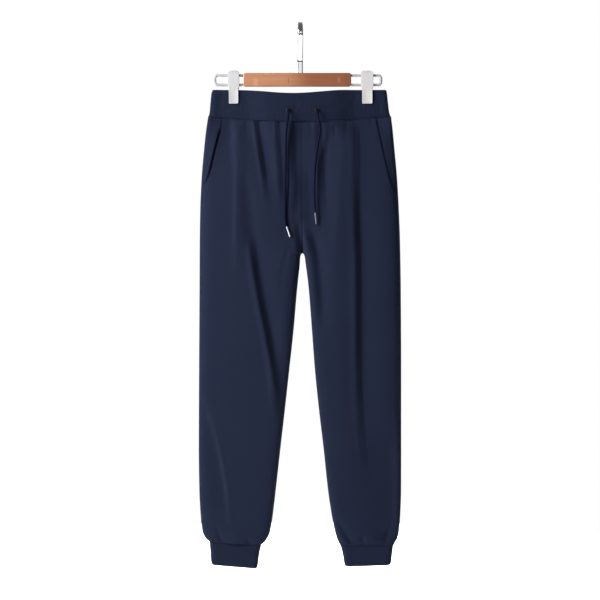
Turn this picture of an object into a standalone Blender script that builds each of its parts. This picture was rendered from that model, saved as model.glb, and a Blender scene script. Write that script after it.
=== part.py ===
"""Jogger sweatpants hung by the waistband from a clip hanger.

Metres, +Z up, the front of the garment towards -Y. The origin is where a rail carries the hook.
Left and right are the wearer's, so the left leg is at +X. Every size below is in millimetres,
"down" is the distance below the rail, and new_object turns the finished points into metres.
"""

import math

import bmesh
import bpy
from mathutils import Matrix, Vector

MM = 0.001
GAP = 0.3
HALF_GAP = GAP / 2

# Cloth thicknesses: terry panels, doubled rib with elastic, doubled rib, pocket cloth
PANEL_WALL = 2.0
BAND_WALL = 4.0
CUFF_WALL = 3.0
FACING_WALL = 1.5
FACING_DROP = 2.7

CENTRE_SEAM_X = 5.0
CROTCH_DOWN = 482.0
CROTCH_CURVE = {"front": 85.0, "back": 125.0}
CROWN = 0.10

SIDES = {"right": 1, "left": 2}
FACES = {"front": (1, -1.0), "back": (2, 1.0)}

# down, x of the outseam on the right leg, x of the outseam on the left leg
OUTSEAM = (
    (195.0, -192.8, 191.2),
    (223.0, -197.0, 194.5),
    (256.0, -200.6, 197.6),
    (324.0, -206.4, 203.7),
    (391.0, -209.4, 207.5),
    (458.0, -210.4, 210.0),
    (560.0, -210.9, 211.7),
    (727.0, -211.9, 212.5),
    (895.0, -212.5, 212.5),
    (979.0, -211.3, 212.3),
    (1029.0, -208.7, 210.6),
    (1063.0, -205.4, 207.9),
    (1080.0, -197.5, 204.3),
    (1087.0, -190.8, 200.3),
    (1094.0, -190.0, 196.9),
)

# down, x of the inseam on the right leg, x of the inseam on the left leg
INSEAM = (
    (482.0, 4.85, 5.15),
    (484.5, 2.4, 8.0),
    (488.0, 1.1, 9.5),
    (492.0, 0.5, 10.3),
    (508.0, -0.6, 12.3),
    (525.0, -2.5, 14.7),
    (559.0, -6.1, 18.5),
    (643.0, -13.4, 25.0),
    (727.0, -22.5, 31.3),
    (811.0, -31.7, 39.9),
    (895.0, -41.4, 49.8),
    (979.0, -50.8, 58.8),
    (1029.0, -57.0, 66.2),
    (1063.0, -63.3, 72.7),
    (1080.0, -73.5, 77.5),
    (1087.0, -80.8, 80.5),
    (1094.0, -80.8, 83.8),
)

# down, half depth in front, half depth behind, radius of the turn at the outseam, at the inseam
DEPTH = (
    (195.0, 14.0, 14.0, 19.0, 22.0),
    (225.0, 17.0, 18.0, 24.0, 22.0),
    (260.0, 19.5, 21.5, 28.0, 24.0),
    (330.0, 22.0, 25.0, 32.0, 26.0),
    (420.0, 22.5, 26.0, 34.0, 28.0),
    (482.0, 21.5, 25.0, 34.0, 28.0),
    (560.0, 20.0, 23.0, 34.0, 30.0),
    (700.0, 18.0, 20.5, 34.0, 32.0),
    (850.0, 16.5, 18.5, 34.0, 32.0),
    (980.0, 16.0, 17.5, 32.0, 30.0),
    (1040.0, 16.5, 17.5, 30.0, 28.0),
    (1065.0, 16.0, 16.5, 27.0, 26.0),
    (1080.0, 13.5, 14.0, 22.0, 22.0),
    (1094.0, 11.0, 11.0, 16.0, 16.0),
)

# Waistband, a row for each ring: share of the way down, x of the right side, x of the left side,
# half depth, radius of the turn at the sides
BAND = (
    (0.00, -183.5, 181.0, 11.5, 10.0),
    (0.12, -186.0, 182.6, 12.3, 11.0),
    (0.50, -188.2, 185.0, 13.8, 13.0),
    (0.85, -190.0, 187.6, 14.6, 16.0),
    (1.00, -192.0, 190.3, 14.8, 18.0),
)
BAND_TOP_DOWN = 139.0
BAND_TOP_SAG = 7.0
BAND_TOP_SAG_X = -15.0
BAND_TOP_SAG_REACH = 120.0
WAIST_SEAM_DOWN = 194.6
WAIST_SEAM_SAG = 11.5
WAIST_SEAM_REACH = 192.0
WAIST_SAG_FADES_BY = 330.0

# Cuffs, a row for each ring: share of the way down, x of the right cuff's outer and inner side,
# x of the left cuff's outer and inner side, half depth
CUFF = (
    (0.00, -190.0, -80.9, 196.0, 84.6, 11.0),
    (0.30, -188.9, -84.6, 194.3, 88.4, 10.8),
    (0.62, -187.5, -87.0, 192.9, 91.2, 10.6),
    (0.90, -186.4, -88.8, 191.3, 93.3, 10.2),
    (1.00, -184.6, -90.6, 189.4, 95.2, 9.2),
)
CUFF_TURN = 12.0
# Columns of a band's or cuff's ring: at each turned end, on a face of the band, on a face of a cuff
RING_TURN_STEPS = 3
BAND_STEPS = 26
CUFF_STEPS = 7
# down of the cuff seam at the outseam and at the inseam, down of the cuff's free edge at each
CUFF_ENDS = {
    "right": (1087.0, 1094.0, 1135.4, 1143.0),
    "left": (1094.0, 1094.0, 1135.6, 1139.2),
}
HEM_SLOPE_FROM = 1000.0

# Slanted pocket mouths: down, x on the right hip, x on the left hip
POCKET_MOUTH = (
    (196.0, -161.0, 158.4),
    (236.0, -170.5, 165.3),
    (285.0, -182.3, 175.8),
    (322.0, -191.3, 184.4),
    (348.0, -203.0, 194.3),
    (358.0, -206.6, 199.2),
    (366.0, -208.6, 206.4),
)
POCKET_TUCK = 20.0
FACING_BOTTOM_DOWN = 380.0
FACING_STEPS = 7
FACING_ROWS = 10

# Largest folds: face, depth, half width, then the crease as (down, x) from its top to its end
FOLDS = (
    ("front", 4.0, 11.0, ((192, -92.0), (262, -86.0), (330, -77.0), (430, -60.0))),
    ("front", 6.0, 13.0, ((430, -106.0), (545, -89.0), (640, -72.0), (745, -53.0), (850, -42.0))),
    ("front", 5.5, 15.0, ((192, 128.0), (300, 120.0), (480, 120.0), (700, 125.0), (930, 136.0))),
    ("front", 3.0, 10.0, ((192, 50.0), (290, 50.0), (420, 51.0))),
    ("front", -3.0, 20.0, ((200, -139.0), (320, -138.0), (520, -136.0))),
    ("front", 3.5, 18.0, ((780, -205.0), (905, -182.0), (1010, -160.0), (1075, -150.0))),
    ("front", 4.0, 24.0, ((880, 150.0), (980, 156.0), (1070, 160.0))),
    ("back", 5.0, 14.0, ((200, -70.0), (330, -80.0), (470, -96.0))),
    ("back", 5.0, 14.0, ((200, 96.0), (340, 98.0), (520, 104.0))),
    ("back", 5.0, 15.0, ((500, -88.0), (640, -96.0), (780, -104.0), (900, -108.0))),
    ("back", 5.0, 15.0, ((560, 96.0), (700, 104.0), (860, 116.0), (960, 124.0))),
    ("back", 3.5, 20.0, ((930, -146.0), (1010, -152.0), (1075, -148.0))),
    ("back", 3.5, 20.0, ((960, 146.0), (1030, 150.0), (1080, 146.0))),
)
FOLD_TAPER = 45.0

# Rows of a panel between two levels: from, to, steps of a front panel, steps of a back panel
PANEL_SPANS = (
    (WAIST_SEAM_DOWN, 342.0, 7, 7),
    (342.0, 366.0, 7, 1),
    (366.0, 455.0, 4, 4),
    (455.0, 482.0, 4, 4),
    (482.0, 492.0, 3, 3),
    (492.0, 525.0, 1, 1),
    (525.0, 1015.0, 11, 11),
    (1015.0, 1063.0, 2, 2),
)
HEM_STEPS = 3
OUTER_TURN_STEPS = 4
MIDDLE_STEPS = 9
INNER_TURN_STEPS = 3

# Drawstring eyelets in the band's front wall: x, down
EYELETS = {"right": (-23.9, 183.3), "left": (35.7, 183.3)}
BAND_FRONT_Y = -14.0
BAND_HOLE_RADIUS = 3.6
BAND_HOLE_DEPTH = 14.0
EYELET_STANDS_OFF = 0.6
EYELET_STEPS = 24
# The eyelet's section, turned round its axis: radius, distance behind the flange's back face
EYELET_SECTION = (
    (2.55, 5.0),
    (3.2, 5.0),
    (3.2, 0.0),
    (5.0, 0.0),
    (5.3, -0.4),
    (4.8, -1.0),
    (3.2, -1.1),
    (2.55, -0.5),
)

# Free ends of the drawstring: out of the eyelet, over its lip and down the front
CORD_DIAMETER = 4.5
CORD_STEP = 6.0
CORD_ROUTE = {
    "right": (
        (-23.9, -9.9, -183.3),
        (-23.9, -16.0, -183.3),
        (-24.0, -20.7, -184.6),
        (-24.2, -24.1, -188.0),
        (-24.6, -25.4, -192.7),
        (-25.6, -25.7, -202.0),
        (-27.4, -25.8, -216.0),
        (-29.0, -25.9, -238.0),
        (-29.8, -26.0, -262.0),
        (-30.1, -26.1, -290.0),
        (-30.5, -26.3, -320.0),
        (-30.7, -26.4, -350.0),
        (-30.8, -26.5, -380.0),
        (-30.9, -26.6, -402.0),
        (-30.6, -26.6, -412.0),
        (-29.9, -26.6, -419.9),
        (-27.7, -26.6, -426.5),
    ),
    "left": (
        (35.7, -9.9, -183.3),
        (35.7, -16.0, -183.3),
        (35.8, -20.7, -184.6),
        (36.2, -24.1, -188.0),
        (36.9, -25.4, -193.0),
        (38.8, -25.6, -203.0),
        (41.0, -25.7, -214.0),
        (41.9, -25.8, -226.0),
        (40.7, -25.8, -238.0),
        (38.2, -25.8, -250.0),
        (34.6, -25.8, -274.0),
        (31.9, -25.9, -300.0),
        (30.4, -26.1, -330.0),
        (30.0, -26.3, -358.0),
        (30.8, -26.5, -380.0),
        (31.9, -26.6, -398.3),
    ),
}
AGLET_RADIUS = 2.7
AGLET_SIDES = 16
AGLET_TIP = {"right": (-20.4, -26.6, -448.5), "left": (34.2, -26.7, -421.8)}

# Hanger: a flat strip hook, a wooden bar, a wire loop at each end and a clip on each loop
HOOK_WIDTH = 12.0
HOOK_THICKNESS = 3.0
HOOK_INNER_RADIUS = 21.0
HOOK_FREE_END = 13.0
HOOK_NECK_DOWN = 77.4
HOOK_NECK_RADIUS = 20.0
HOOK_TURNED = math.radians(6.0)
HOOK_ARC_STEPS = 20
HOOK_BEND_STEPS = 4
BAR_X = (-119.1, 107.3)
BAR_DOWN = (103.7, 131.8)
BAR_DEPTH = 12.0
BAR_CORNER = 5.0
BAR_EDGE = 1.5
WIRE_DIAMETER = 4.0
WIRE_DOWN = (108.7, 128.5)
WIRE_CORNER = 6.0
CORNER_STEPS = 4
WIRE_END_X = {"right": -178.4, "left": 170.0}
CLIP_X = {"right": -139.2, "left": 141.1}
CLIP_HEAD_WIDTH = 25.5
CLIP_JAW_WIDTH = 21.5
CLIP_TOP_DOWN = 98.8
CLIP_SHOULDER_DOWN = 132.0
CLIP_JAW_DOWN = 139.0
CLIP_BOTTOM_DOWN = 168.2
CLIP_WIDEST = 10.0
CLIP_HEAD_CORNER = 4.5
CLIP_JAW_CORNER = 2.0
# Side of a clip, from its top down one leg: down, half thickness outside, half width of the slot
CLIP_OUTSIDE = (
    (98.8, 2.4),
    (99.6, 4.2),
    (102.0, 5.6),
    (106.0, 6.2),
    (131.0, 6.2),
    (140.0, 8.2),
    (168.2, 7.6),
)
CLIP_SLOT = ((106.4, 2.3), (131.5, 2.3), (139.0, 4.9), (168.2, 4.9))

# The cloth pressed between the jaws: half depth there, half width kept flat, width of the slope
PRESSED_HALF = 4.3
PRESSED_FLAT = 22.0
PRESSED_SLOPE = 36.0
PRESSED_UNTIL_DOWN = 169.0
PRESSED_FADES_BY = 262.0


def smooth(share):
    """0 to 1 with a soft start and a soft end."""
    share = min(max(share, 0.0), 1.0)
    return share * share * (3.0 - 2.0 * share)


def turn(share):
    """Quarter of a round edge: 0 at the fold, 1 where the cloth has become flat."""
    share = min(max(share, 0.0), 1.0)
    return math.sqrt(1.0 - (1.0 - share) ** 2)


def read(table, key, column):
    """Value of a table's column at a key, on a smooth curve through its rows that never overshoots."""
    if key <= table[0][0]:
        return table[0][column]
    if key >= table[-1][0]:
        return table[-1][column]
    i = max(n for n, row in enumerate(table) if row[0] <= key)

    def rise(n):
        return (table[n + 1][column] - table[n][column]) / (table[n + 1][0] - table[n][0])

    def slope(n):
        if n == 0:
            return rise(0)
        if n == len(table) - 1:
            return rise(n - 1)
        before, after = rise(n - 1), rise(n)
        if before * after <= 0.0:
            return 0.0
        return 2.0 * before * after / (before + after)

    width = table[i + 1][0] - table[i][0]
    t = (key - table[i][0]) / width
    start, end = table[i][column], table[i + 1][column]
    return (
        start * (1 + 2 * t) * (1 - t) ** 2
        + end * t * t * (3 - 2 * t)
        + width * slope(i) * t * (1 - t) ** 2
        - width * slope(i + 1) * t * t * (1 - t)
    )


def steps(start, end, count):
    """Values from start, each a step on, without the end itself."""
    return [start + (end - start) * n / count for n in range(count)]


# ---- form of the cloth ------------------------------------------------------------------------


def band_top_down(x):
    """The band's top edge, which sags between the two clips."""
    share = min(abs(x - BAND_TOP_SAG_X) / BAND_TOP_SAG_REACH, 1.0)
    return BAND_TOP_DOWN + BAND_TOP_SAG * math.cos(share * math.pi / 2) ** 2


def waist_sag(x):
    return WAIST_SEAM_SAG * max(0.0, 1.0 - (x / WAIST_SEAM_REACH) ** 2)


def outer_edge(side, down):
    return read(OUTSEAM, down, SIDES[side])


def inner_edge(side, down):
    """The centre seam down to the crotch, then the inseam."""
    if down <= CROTCH_DOWN:
        return CENTRE_SEAM_X + (HALF_GAP if side == "left" else -HALF_GAP)
    return read(INSEAM, down, SIDES[side])


def pressed(depth, x, down):
    """Half depth of the cloth at x, flattened by the jaws of the clips."""
    for clip_x in CLIP_X.values():
        near = 1.0 - smooth((abs(x - clip_x) - PRESSED_FLAT) / PRESSED_SLOPE)
        free = smooth((down - PRESSED_UNTIL_DOWN) / (PRESSED_FADES_BY - PRESSED_UNTIL_DOWN))
        depth += near * (1.0 - free) * (PRESSED_HALF - depth)
    return depth


def fold(face, x, down):
    """How far the folds sink the cloth of a face at a point."""
    sunk = 0.0
    for fold_face, depth, half_width, crease in FOLDS:
        ends = min(down - crease[0][0], crease[-1][0] - down)
        if fold_face != face or ends <= 0.0:
            continue
        off = (x - read(crease, down, 1)) / half_width
        sunk += depth * smooth(ends / FOLD_TAPER) * math.exp(-off * off)
    return sunk


def cloth(side, face, x, down):
    """Point of a leg's outer surface, at x and at a level named by its depth below the rail."""
    column, sign = FACES[face]
    outer, inner = outer_edge(side, down), inner_edge(side, down)
    outer_turn = turn(abs(x - outer) / read(DEPTH, down, 3))
    seam_height = (CROTCH_DOWN - down) / CROTCH_CURVE[face]
    seam_full = turn(seam_height) if seam_height > 0.0 else 0.0
    inner_turn = seam_full + (1.0 - seam_full) * turn(abs(inner - x) / read(DEPTH, down, 4))
    across = (x - outer) / (inner - outer)
    depth = read(DEPTH, down, column) * (1.0 + CROWN * 4.0 * across * (1.0 - across))
    depth = pressed(depth, x, down) - fold(face, x, down)
    y = sign * max(HALF_GAP, depth * outer_turn * inner_turn)
    sag_fades = smooth((down - WAIST_SEAM_DOWN) / (WAIST_SAG_FADES_BY - WAIST_SEAM_DOWN))
    seam_outer, seam_inner = CUFF_ENDS[side][:2]
    slope_grows = smooth((down - HEM_SLOPE_FROM) / (seam_outer - HEM_SLOPE_FROM))
    slope = (seam_inner - seam_outer) * across * slope_grows
    return Vector((x, y, -(down + waist_sag(x) * (1.0 - sag_fades) + slope)))


def across_panel(start, end, start_turn, end_turn):
    """x of each column: close together round the two turned edges, even between them."""
    way = 1.0 if end > start else -1.0
    flat_start, flat_end = start + way * start_turn, end - way * end_turn
    columns = [
        start + way * start_turn * (1.0 - math.cos(angle))
        for angle in steps(0.0, math.pi / 2, OUTER_TURN_STEPS)
    ]
    columns += steps(flat_start, flat_end, MIDDLE_STEPS)
    columns += [
        flat_end + way * end_turn * math.sin(angle)
        for angle in steps(0.0, math.pi / 2, INNER_TURN_STEPS)
    ]
    return columns + [end]


# ---- solids -------------------------------------------------------------------------------------


def new_material(name, colour, roughness, metallic=0.0):
    material = bpy.data.materials.new(name)
    material.use_nodes = True
    shader = material.node_tree.nodes["Principled BSDF"]
    shader.inputs["Base Color"].default_value = (*colour, 1.0)
    shader.inputs["Roughness"].default_value = roughness
    shader.inputs["Metallic"].default_value = metallic
    return material


def new_object(name, bm, material):
    """Turns a bmesh in millimetres into an object in metres."""
    bmesh.ops.scale(bm, vec=(MM, MM, MM), verts=bm.verts)
    bmesh.ops.recalc_face_normals(bm, faces=bm.faces)
    mesh = bpy.data.meshes.new(name)
    bm.to_mesh(mesh)
    bm.free()
    mesh.shade_smooth()
    mesh.set_sharp_from_angle(angle=math.radians(40))
    mesh.materials.append(material)
    obj = bpy.data.objects.new(name, mesh)
    bpy.context.collection.objects.link(obj)
    return obj


def normals(grid, ring):
    """Outward normals of a grid of points, whose rows run down and may close in a ring."""
    rows, columns = len(grid), len(grid[0])
    found = []
    for i in range(rows):
        line = []
        for j in range(columns):
            left = grid[i][(j - 1) % columns] if ring or j else grid[i][0]
            right = grid[i][(j + 1) % columns] if ring or j < columns - 1 else grid[i][-1]
            above, below = grid[max(i - 1, 0)][j], grid[min(i + 1, rows - 1)][j]
            line.append((right - left).cross(below - above).normalized())
        found.append(line)
    middle = grid[rows // 2][columns // 4 if ring else columns // 2]
    probe = found[rows // 2][columns // 4 if ring else columns // 2]
    sign = 1.0 if probe.y * middle.y > 0.0 else -1.0
    return [[normal * sign for normal in line] for line in found]


def flat_ends(found):
    """Levels the normals of the first and last row, so that the wall ends square at its seams."""
    for line in (found[0], found[-1]):
        for normal in line:
            normal.z = 0.0
            normal.normalize()


def moved(grid, found, distance):
    return [
        [point + normal * distance for point, normal in zip(line, normal_line)]
        for line, normal_line in zip(grid, found)
    ]


def wall(name, outside, inside, ring, material):
    """One closed solid between two grids of points."""
    bm = bmesh.new()
    skins = []
    for grid in (outside, inside):
        skins.append([[bm.verts.new(point) for point in line] for line in grid])
    rows, columns = len(outside), len(outside[0])
    last = columns if ring else columns - 1
    for skin in skins:
        for i in range(rows - 1):
            for j in range(last):
                k = (j + 1) % columns
                bm.faces.new((skin[i][j], skin[i + 1][j], skin[i + 1][k], skin[i][k]))
    outer, inner = skins
    for i in (0, rows - 1):
        for j in range(last):
            k = (j + 1) % columns
            bm.faces.new((outer[i][j], outer[i][k], inner[i][k], inner[i][j]))
    if not ring:
        for j in (0, columns - 1):
            for i in range(rows - 1):
                bm.faces.new((outer[i][j], outer[i + 1][j], inner[i + 1][j], inner[i][j]))
    return new_object(name, bm, material)


def panel_levels(side, face):
    levels = []
    for start, end, *counts in PANEL_SPANS:
        levels += steps(start, end, counts[FACES[face][0] - 1])
    hem = CUFF_ENDS[side][0]
    return levels + steps(PANEL_SPANS[-1][1], hem, HEM_STEPS) + [hem]


def make_panel(side, face, material):
    sign = FACES[face][1]
    towards_outseam = -1.0 if side == "right" else 1.0
    grid, at_outseam = [], []
    for down in panel_levels(side, face):
        start = outer_edge(side, down)
        whole = face == "back" or down >= POCKET_MOUTH[-1][0]
        if not whole:
            start = read(POCKET_MOUTH, down, SIDES[side])
        end = inner_edge(side, down)
        columns = across_panel(start, end, read(DEPTH, down, 3), read(DEPTH, down, 4))
        grid.append([cloth(side, face, x, down) for x in columns])
        at_outseam.append(whole)
    found = normals(grid, ring=False)
    flat_ends(found)
    for down, line, whole in zip(panel_levels(side, face), found, at_outseam):
        if whole:
            line[0] = Vector((towards_outseam, 0.0, 0.0))
        if down >= CROTCH_DOWN:
            line[-1] = Vector((-towards_outseam, 0.0, 0.0))
        else:
            line[-1].x = 0.0
            line[-1].normalize()
    inside = moved(grid, found, -PANEL_WALL)
    for point in (point for line in inside for point in line):
        point.y = sign * max(HALF_GAP, sign * point.y)
    # The seams to the waistband and to the cuff
    for grid_line in (grid[0], inside[0]):
        for point in grid_line:
            point.z -= HALF_GAP
    for grid_line in (grid[-1], inside[-1]):
        for point in grid_line:
            point.z += HALF_GAP
    return wall(f"{face}_{side}", grid, inside, False, material)


def make_facing(side, material):
    """The pocket piece behind the slanted mouth, from the outseam to under the front panel."""
    way = 1.0 if side == "right" else -1.0
    levels = steps(WAIST_SEAM_DOWN, FACING_BOTTOM_DOWN, FACING_ROWS) + [FACING_BOTTOM_DOWN]
    grid = []
    for down in levels:
        edge = outer_edge(side, down)
        reach = read(POCKET_MOUTH, down, SIDES[side]) + way * POCKET_TUCK - edge
        turns = steps(0.0, math.pi / 2, FACING_STEPS) + [math.pi / 2]
        columns = [edge + reach * (1.0 - math.cos(angle)) for angle in turns]
        grid.append([cloth(side, "front", x, down) for x in columns])
    found = normals(grid, ring=False)
    flat_ends(found)
    for line in found:
        line[0] = Vector((-way, 0.0, 0.0))
    outside = moved(grid, found, -FACING_DROP)
    inside = moved(grid, found, -FACING_DROP - FACING_WALL)
    for point in (point for line in outside + inside for point in line):
        point.y = min(-HALF_GAP, point.y)
    for point in outside[0] + inside[0]:
        point.z -= HALF_GAP
    return wall(f"pocket_facing_{side}", outside, inside, False, material)


def ring_columns(right, left, radius, count):
    """x of the front half of a flattened ring, from its right end to its left end."""
    angles = steps(0.0, math.pi / 2, RING_TURN_STEPS)
    columns = [right + radius * (1.0 - math.cos(angle)) for angle in angles]
    columns += steps(right + radius, left - radius, count)
    columns += [left - radius + radius * math.sin(angle) for angle in angles]
    return columns + [left]


def make_waistband(material):
    grid = []
    for share, right, left, depth, radius in BAND:
        front = []
        for x in ring_columns(right, left, radius, BAND_STEPS):
            down = band_top_down(x) + share * (WAIST_SEAM_DOWN + waist_sag(x) - band_top_down(x))
            rounding = turn((x - right) / radius) * turn((left - x) / radius)
            y = -pressed(depth, x, down) * rounding
            front.append(Vector((x, y, -down)))
        back = [Vector((point.x, -point.y, point.z)) for point in reversed(front[1:-1])]
        grid.append(front + back)
    found = normals(grid, ring=True)
    flat_ends(found)
    inside = moved(grid, found, -BAND_WALL)
    for point in grid[-1] + inside[-1]:
        point.z += HALF_GAP
    return wall("waistband", grid, inside, True, material)


def make_cuff(side, material):
    seam_outer, seam_inner, edge_outer, edge_inner = CUFF_ENDS[side]
    first = 1 if side == "right" else 3
    grid = []
    for row in CUFF:
        share, outer, inner, depth = row[0], row[first], row[first + 1], row[5]
        low, high = min(outer, inner), max(outer, inner)
        front = []
        for x in ring_columns(low, high, CUFF_TURN, CUFF_STEPS):
            across = (x - outer) / (inner - outer)
            seam = seam_outer + across * (seam_inner - seam_outer)
            edge = edge_outer + across * (edge_inner - edge_outer)
            rounding = turn((x - low) / CUFF_TURN) * turn((high - x) / CUFF_TURN)
            front.append(Vector((x, -depth * rounding, -(seam + share * (edge - seam)))))
        back = [Vector((point.x, -point.y, point.z)) for point in reversed(front[1:-1])]
        grid.append(front + back)
    found = normals(grid, ring=True)
    flat_ends(found)
    inside = moved(grid, found, -CUFF_WALL)
    for point in grid[0] + inside[0]:
        point.z -= HALF_GAP
    return wall(f"cuff_{side}", grid, inside, True, material)


def spline_points(route, step):
    """Points at an even step along a smooth curve through a route."""
    route = [Vector(point) for point in route]
    ends = [route[0] * 2 - route[1]] + route + [route[-1] * 2 - route[-2]]
    fine = []
    for a, b, c, d in zip(ends, ends[1:], ends[2:], ends[3:]):
        for t in steps(0.0, 1.0, 20):
            bend, twist = 2 * a - 5 * b + 4 * c - d, 3 * b - a - 3 * c + d
            fine.append(0.5 * (2 * b + (c - a) * t + bend * t**2 + twist * t**3))
    fine.append(route[-1])
    length = sum((q - p).length for p, q in zip(fine, fine[1:]))
    step = length / math.ceil(length / step)
    points, walked = [fine[0]], 0.0
    for p, q in zip(fine, fine[1:]):
        walked += (q - p).length
        if walked >= step:
            points.append(q)
            walked -= step
    if (points[-1] - fine[-1]).length > step / 2:
        points.append(fine[-1])
    points[-1] = fine[-1]
    return points


def make_tube(name, points, diameter, material):
    """A round tube along points in millimetres, closed at both ends."""
    curve = bpy.data.curves.new(name, "CURVE")
    curve.dimensions = "3D"
    curve.bevel_depth = diameter / 2 * MM
    curve.bevel_resolution = 2
    curve.use_fill_caps = True
    spline = curve.splines.new("POLY")
    spline.points.add(len(points) - 1)
    for spline_point, point in zip(spline.points, points):
        spline_point.co = (*(Vector(point) * MM), 1.0)
    curve.materials.append(material)
    obj = bpy.data.objects.new(name, curve)
    bpy.context.collection.objects.link(obj)
    return obj


def make_eyelet(side, band, material):
    x, down = EYELETS[side]
    bm = bmesh.new()
    bmesh.ops.create_cone(
        bm,
        cap_ends=True,
        segments=EYELET_STEPS,
        radius1=BAND_HOLE_RADIUS,
        radius2=BAND_HOLE_RADIUS,
        depth=BAND_HOLE_DEPTH,
        matrix=Matrix.Translation((x, BAND_FRONT_Y, -down)) @ Matrix.Rotation(math.pi / 2, 4, "X"),
    )
    hole = new_object(f"hole_{side}", bm, material)
    hole.hide_render = True
    hole.display_type = "WIRE"
    cut = band.modifiers.new(f"hole_{side}", "BOOLEAN")
    cut.operation = "DIFFERENCE"
    cut.object = hole

    centre = Vector((x, BAND_FRONT_Y - EYELET_STANDS_OFF, -down))
    bm = bmesh.new()
    ring = [bm.verts.new(centre + Vector((radius, behind, 0.0))) for radius, behind in EYELET_SECTION]
    edges = [bm.edges.new(pair) for pair in zip(ring, ring[1:] + ring[:1])]
    bmesh.ops.spin(
        bm,
        geom=ring + edges,
        cent=centre,
        axis=(0.0, 1.0, 0.0),
        angle=2 * math.pi,
        steps=EYELET_STEPS,
        use_merge=True,
    )
    new_object(f"eyelet_{side}", bm, material)


def make_drawstring(side, cord, metal):
    make_tube(f"drawstring_{side}", spline_points(CORD_ROUTE[side], CORD_STEP), CORD_DIAMETER, cord)
    start, tip = Vector(CORD_ROUTE[side][-1]), Vector(AGLET_TIP[side])
    way = (tip - start).normalized()
    start += way * GAP
    bm = bmesh.new()
    bmesh.ops.create_cone(
        bm,
        cap_ends=True,
        segments=AGLET_SIDES,
        radius1=AGLET_RADIUS,
        radius2=AGLET_RADIUS,
        depth=(tip - start).length,
        matrix=Matrix.Translation((start + tip) / 2) @ way.to_track_quat("Z", "Y").to_matrix().to_4x4(),
    )
    new_object(f"aglet_{side}", bm, metal)


# ---- hanger ---------------------------------------------------------------------------------------


def hook_path():
    """Middle line of the strip as (y, z): free end, round over the rail, down the neck to the stem."""
    radius = HOOK_INNER_RADIUS + HOOK_THICKNESS / 2
    centre = -HOOK_INNER_RADIUS
    neck_lean = math.asin(radius / (HOOK_NECK_DOWN - HOOK_INNER_RADIUS))
    path = [(radius, centre - HOOK_FREE_END)]
    path += [
        (radius * math.cos(angle), centre + radius * math.sin(angle))
        for angle in steps(0.0, math.pi + neck_lean, HOOK_ARC_STEPS)
    ]
    path.append((-radius * math.cos(neck_lean), centre - radius * math.sin(neck_lean)))
    # The neck bends back upright on an arc that touches the leaning line and the stem
    bend_z = -HOOK_NECK_DOWN - HOOK_NECK_RADIUS * math.tan(neck_lean / 2)
    for angle in steps(neck_lean, 0.0, HOOK_BEND_STEPS):
        y = -HOOK_NECK_RADIUS * (1.0 - math.cos(angle))
        path.append((y, bend_z + HOOK_NECK_RADIUS * math.sin(angle)))
    return path + [(0.0, bend_z), (0.0, -BAR_DOWN[0] + GAP)]


def make_hook(material):
    path = [Vector((0.0, y, z)) for y, z in hook_path()]
    bm = bmesh.new()
    rings = []
    for before, point, after in zip([path[0]] + path, path, path[1:] + [path[-1]]):
        way = (after - before).normalized()
        out = Vector((0.0, -way.z, way.y)) * (HOOK_THICKNESS / 2)
        across = Vector((HOOK_WIDTH / 2, 0.0, 0.0))
        corners = (point + out + across, point + out - across, point - out - across, point - out + across)
        rings.append([bm.verts.new(corner) for corner in corners])
    for ring, following in zip(rings, rings[1:]):
        for n in range(4):
            m = (n + 1) % 4
            bm.faces.new((ring[n], ring[m], following[m], following[n]))
    bm.faces.new(rings[0])
    bm.faces.new(rings[-1])
    bmesh.ops.rotate(bm, cent=(0, 0, 0), matrix=Matrix.Rotation(HOOK_TURNED, 3, "Z"), verts=bm.verts)
    new_object("hanger_hook", bm, material)


def make_bar(material):
    size = (BAR_X[1] - BAR_X[0], BAR_DEPTH, BAR_DOWN[1] - BAR_DOWN[0])
    centre = (sum(BAR_X) / 2, 0.0, -sum(BAR_DOWN) / 2)
    bm = bmesh.new()
    bmesh.ops.create_cube(bm, size=1.0)
    bmesh.ops.scale(bm, vec=size, verts=bm.verts)
    bmesh.ops.translate(bm, vec=centre, verts=bm.verts)
    corners = [edge for edge in bm.edges if abs((edge.verts[0].co - edge.verts[1].co).y) > BAR_DEPTH / 2]
    bmesh.ops.bevel(
        bm, geom=corners, offset=BAR_CORNER, segments=CORNER_STEPS, affect="EDGES", profile=0.5, material=-1
    )
    bar = new_object("hanger_bar", bm, material)
    rounded = bar.modifiers.new("rounded edges", "BEVEL")
    rounded.width = BAR_EDGE * MM
    rounded.segments = 2
    rounded.limit_method = "ANGLE"
    rounded.angle_limit = math.radians(40)


def make_wire(side, material):
    """A loop of wire that leaves the bar's end high up and comes back to it lower down."""
    way = -1.0 if side == "right" else 1.0
    bar_end = BAR_X[0] if side == "right" else BAR_X[1]
    corner_x = WIRE_END_X[side] - way * WIRE_CORNER
    points = [(bar_end + way * GAP, 0.0, -WIRE_DOWN[0])]
    for centre_down, first in ((WIRE_DOWN[0] + WIRE_CORNER, 90.0), (WIRE_DOWN[1] - WIRE_CORNER, 0.0)):
        for angle in steps(first, first - 90.0, CORNER_STEPS) + [first - 90.0]:
            x = corner_x + way * WIRE_CORNER * math.cos(math.radians(angle))
            points.append((x, 0.0, -centre_down + WIRE_CORNER * math.sin(math.radians(angle))))
    points.append((bar_end + way * GAP, 0.0, -WIRE_DOWN[1]))
    make_tube(f"hanger_wire_{side}", points, WIRE_DIAMETER, material)


def rounded_corner(x, z, radius, first):
    """Quarter circle inside the corner (x, z), from the angle first on, turning left."""
    middle = math.radians(first + 45.0)
    centre_x = x - radius * math.copysign(1.0, math.cos(middle))
    centre_z = z - radius * math.copysign(1.0, math.sin(middle))
    angles = [math.radians(angle) for angle in steps(first, first + 90.0, CORNER_STEPS) + [first + 90.0]]
    return [(centre_x + radius * math.cos(a), centre_z + radius * math.sin(a)) for a in angles]


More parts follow.
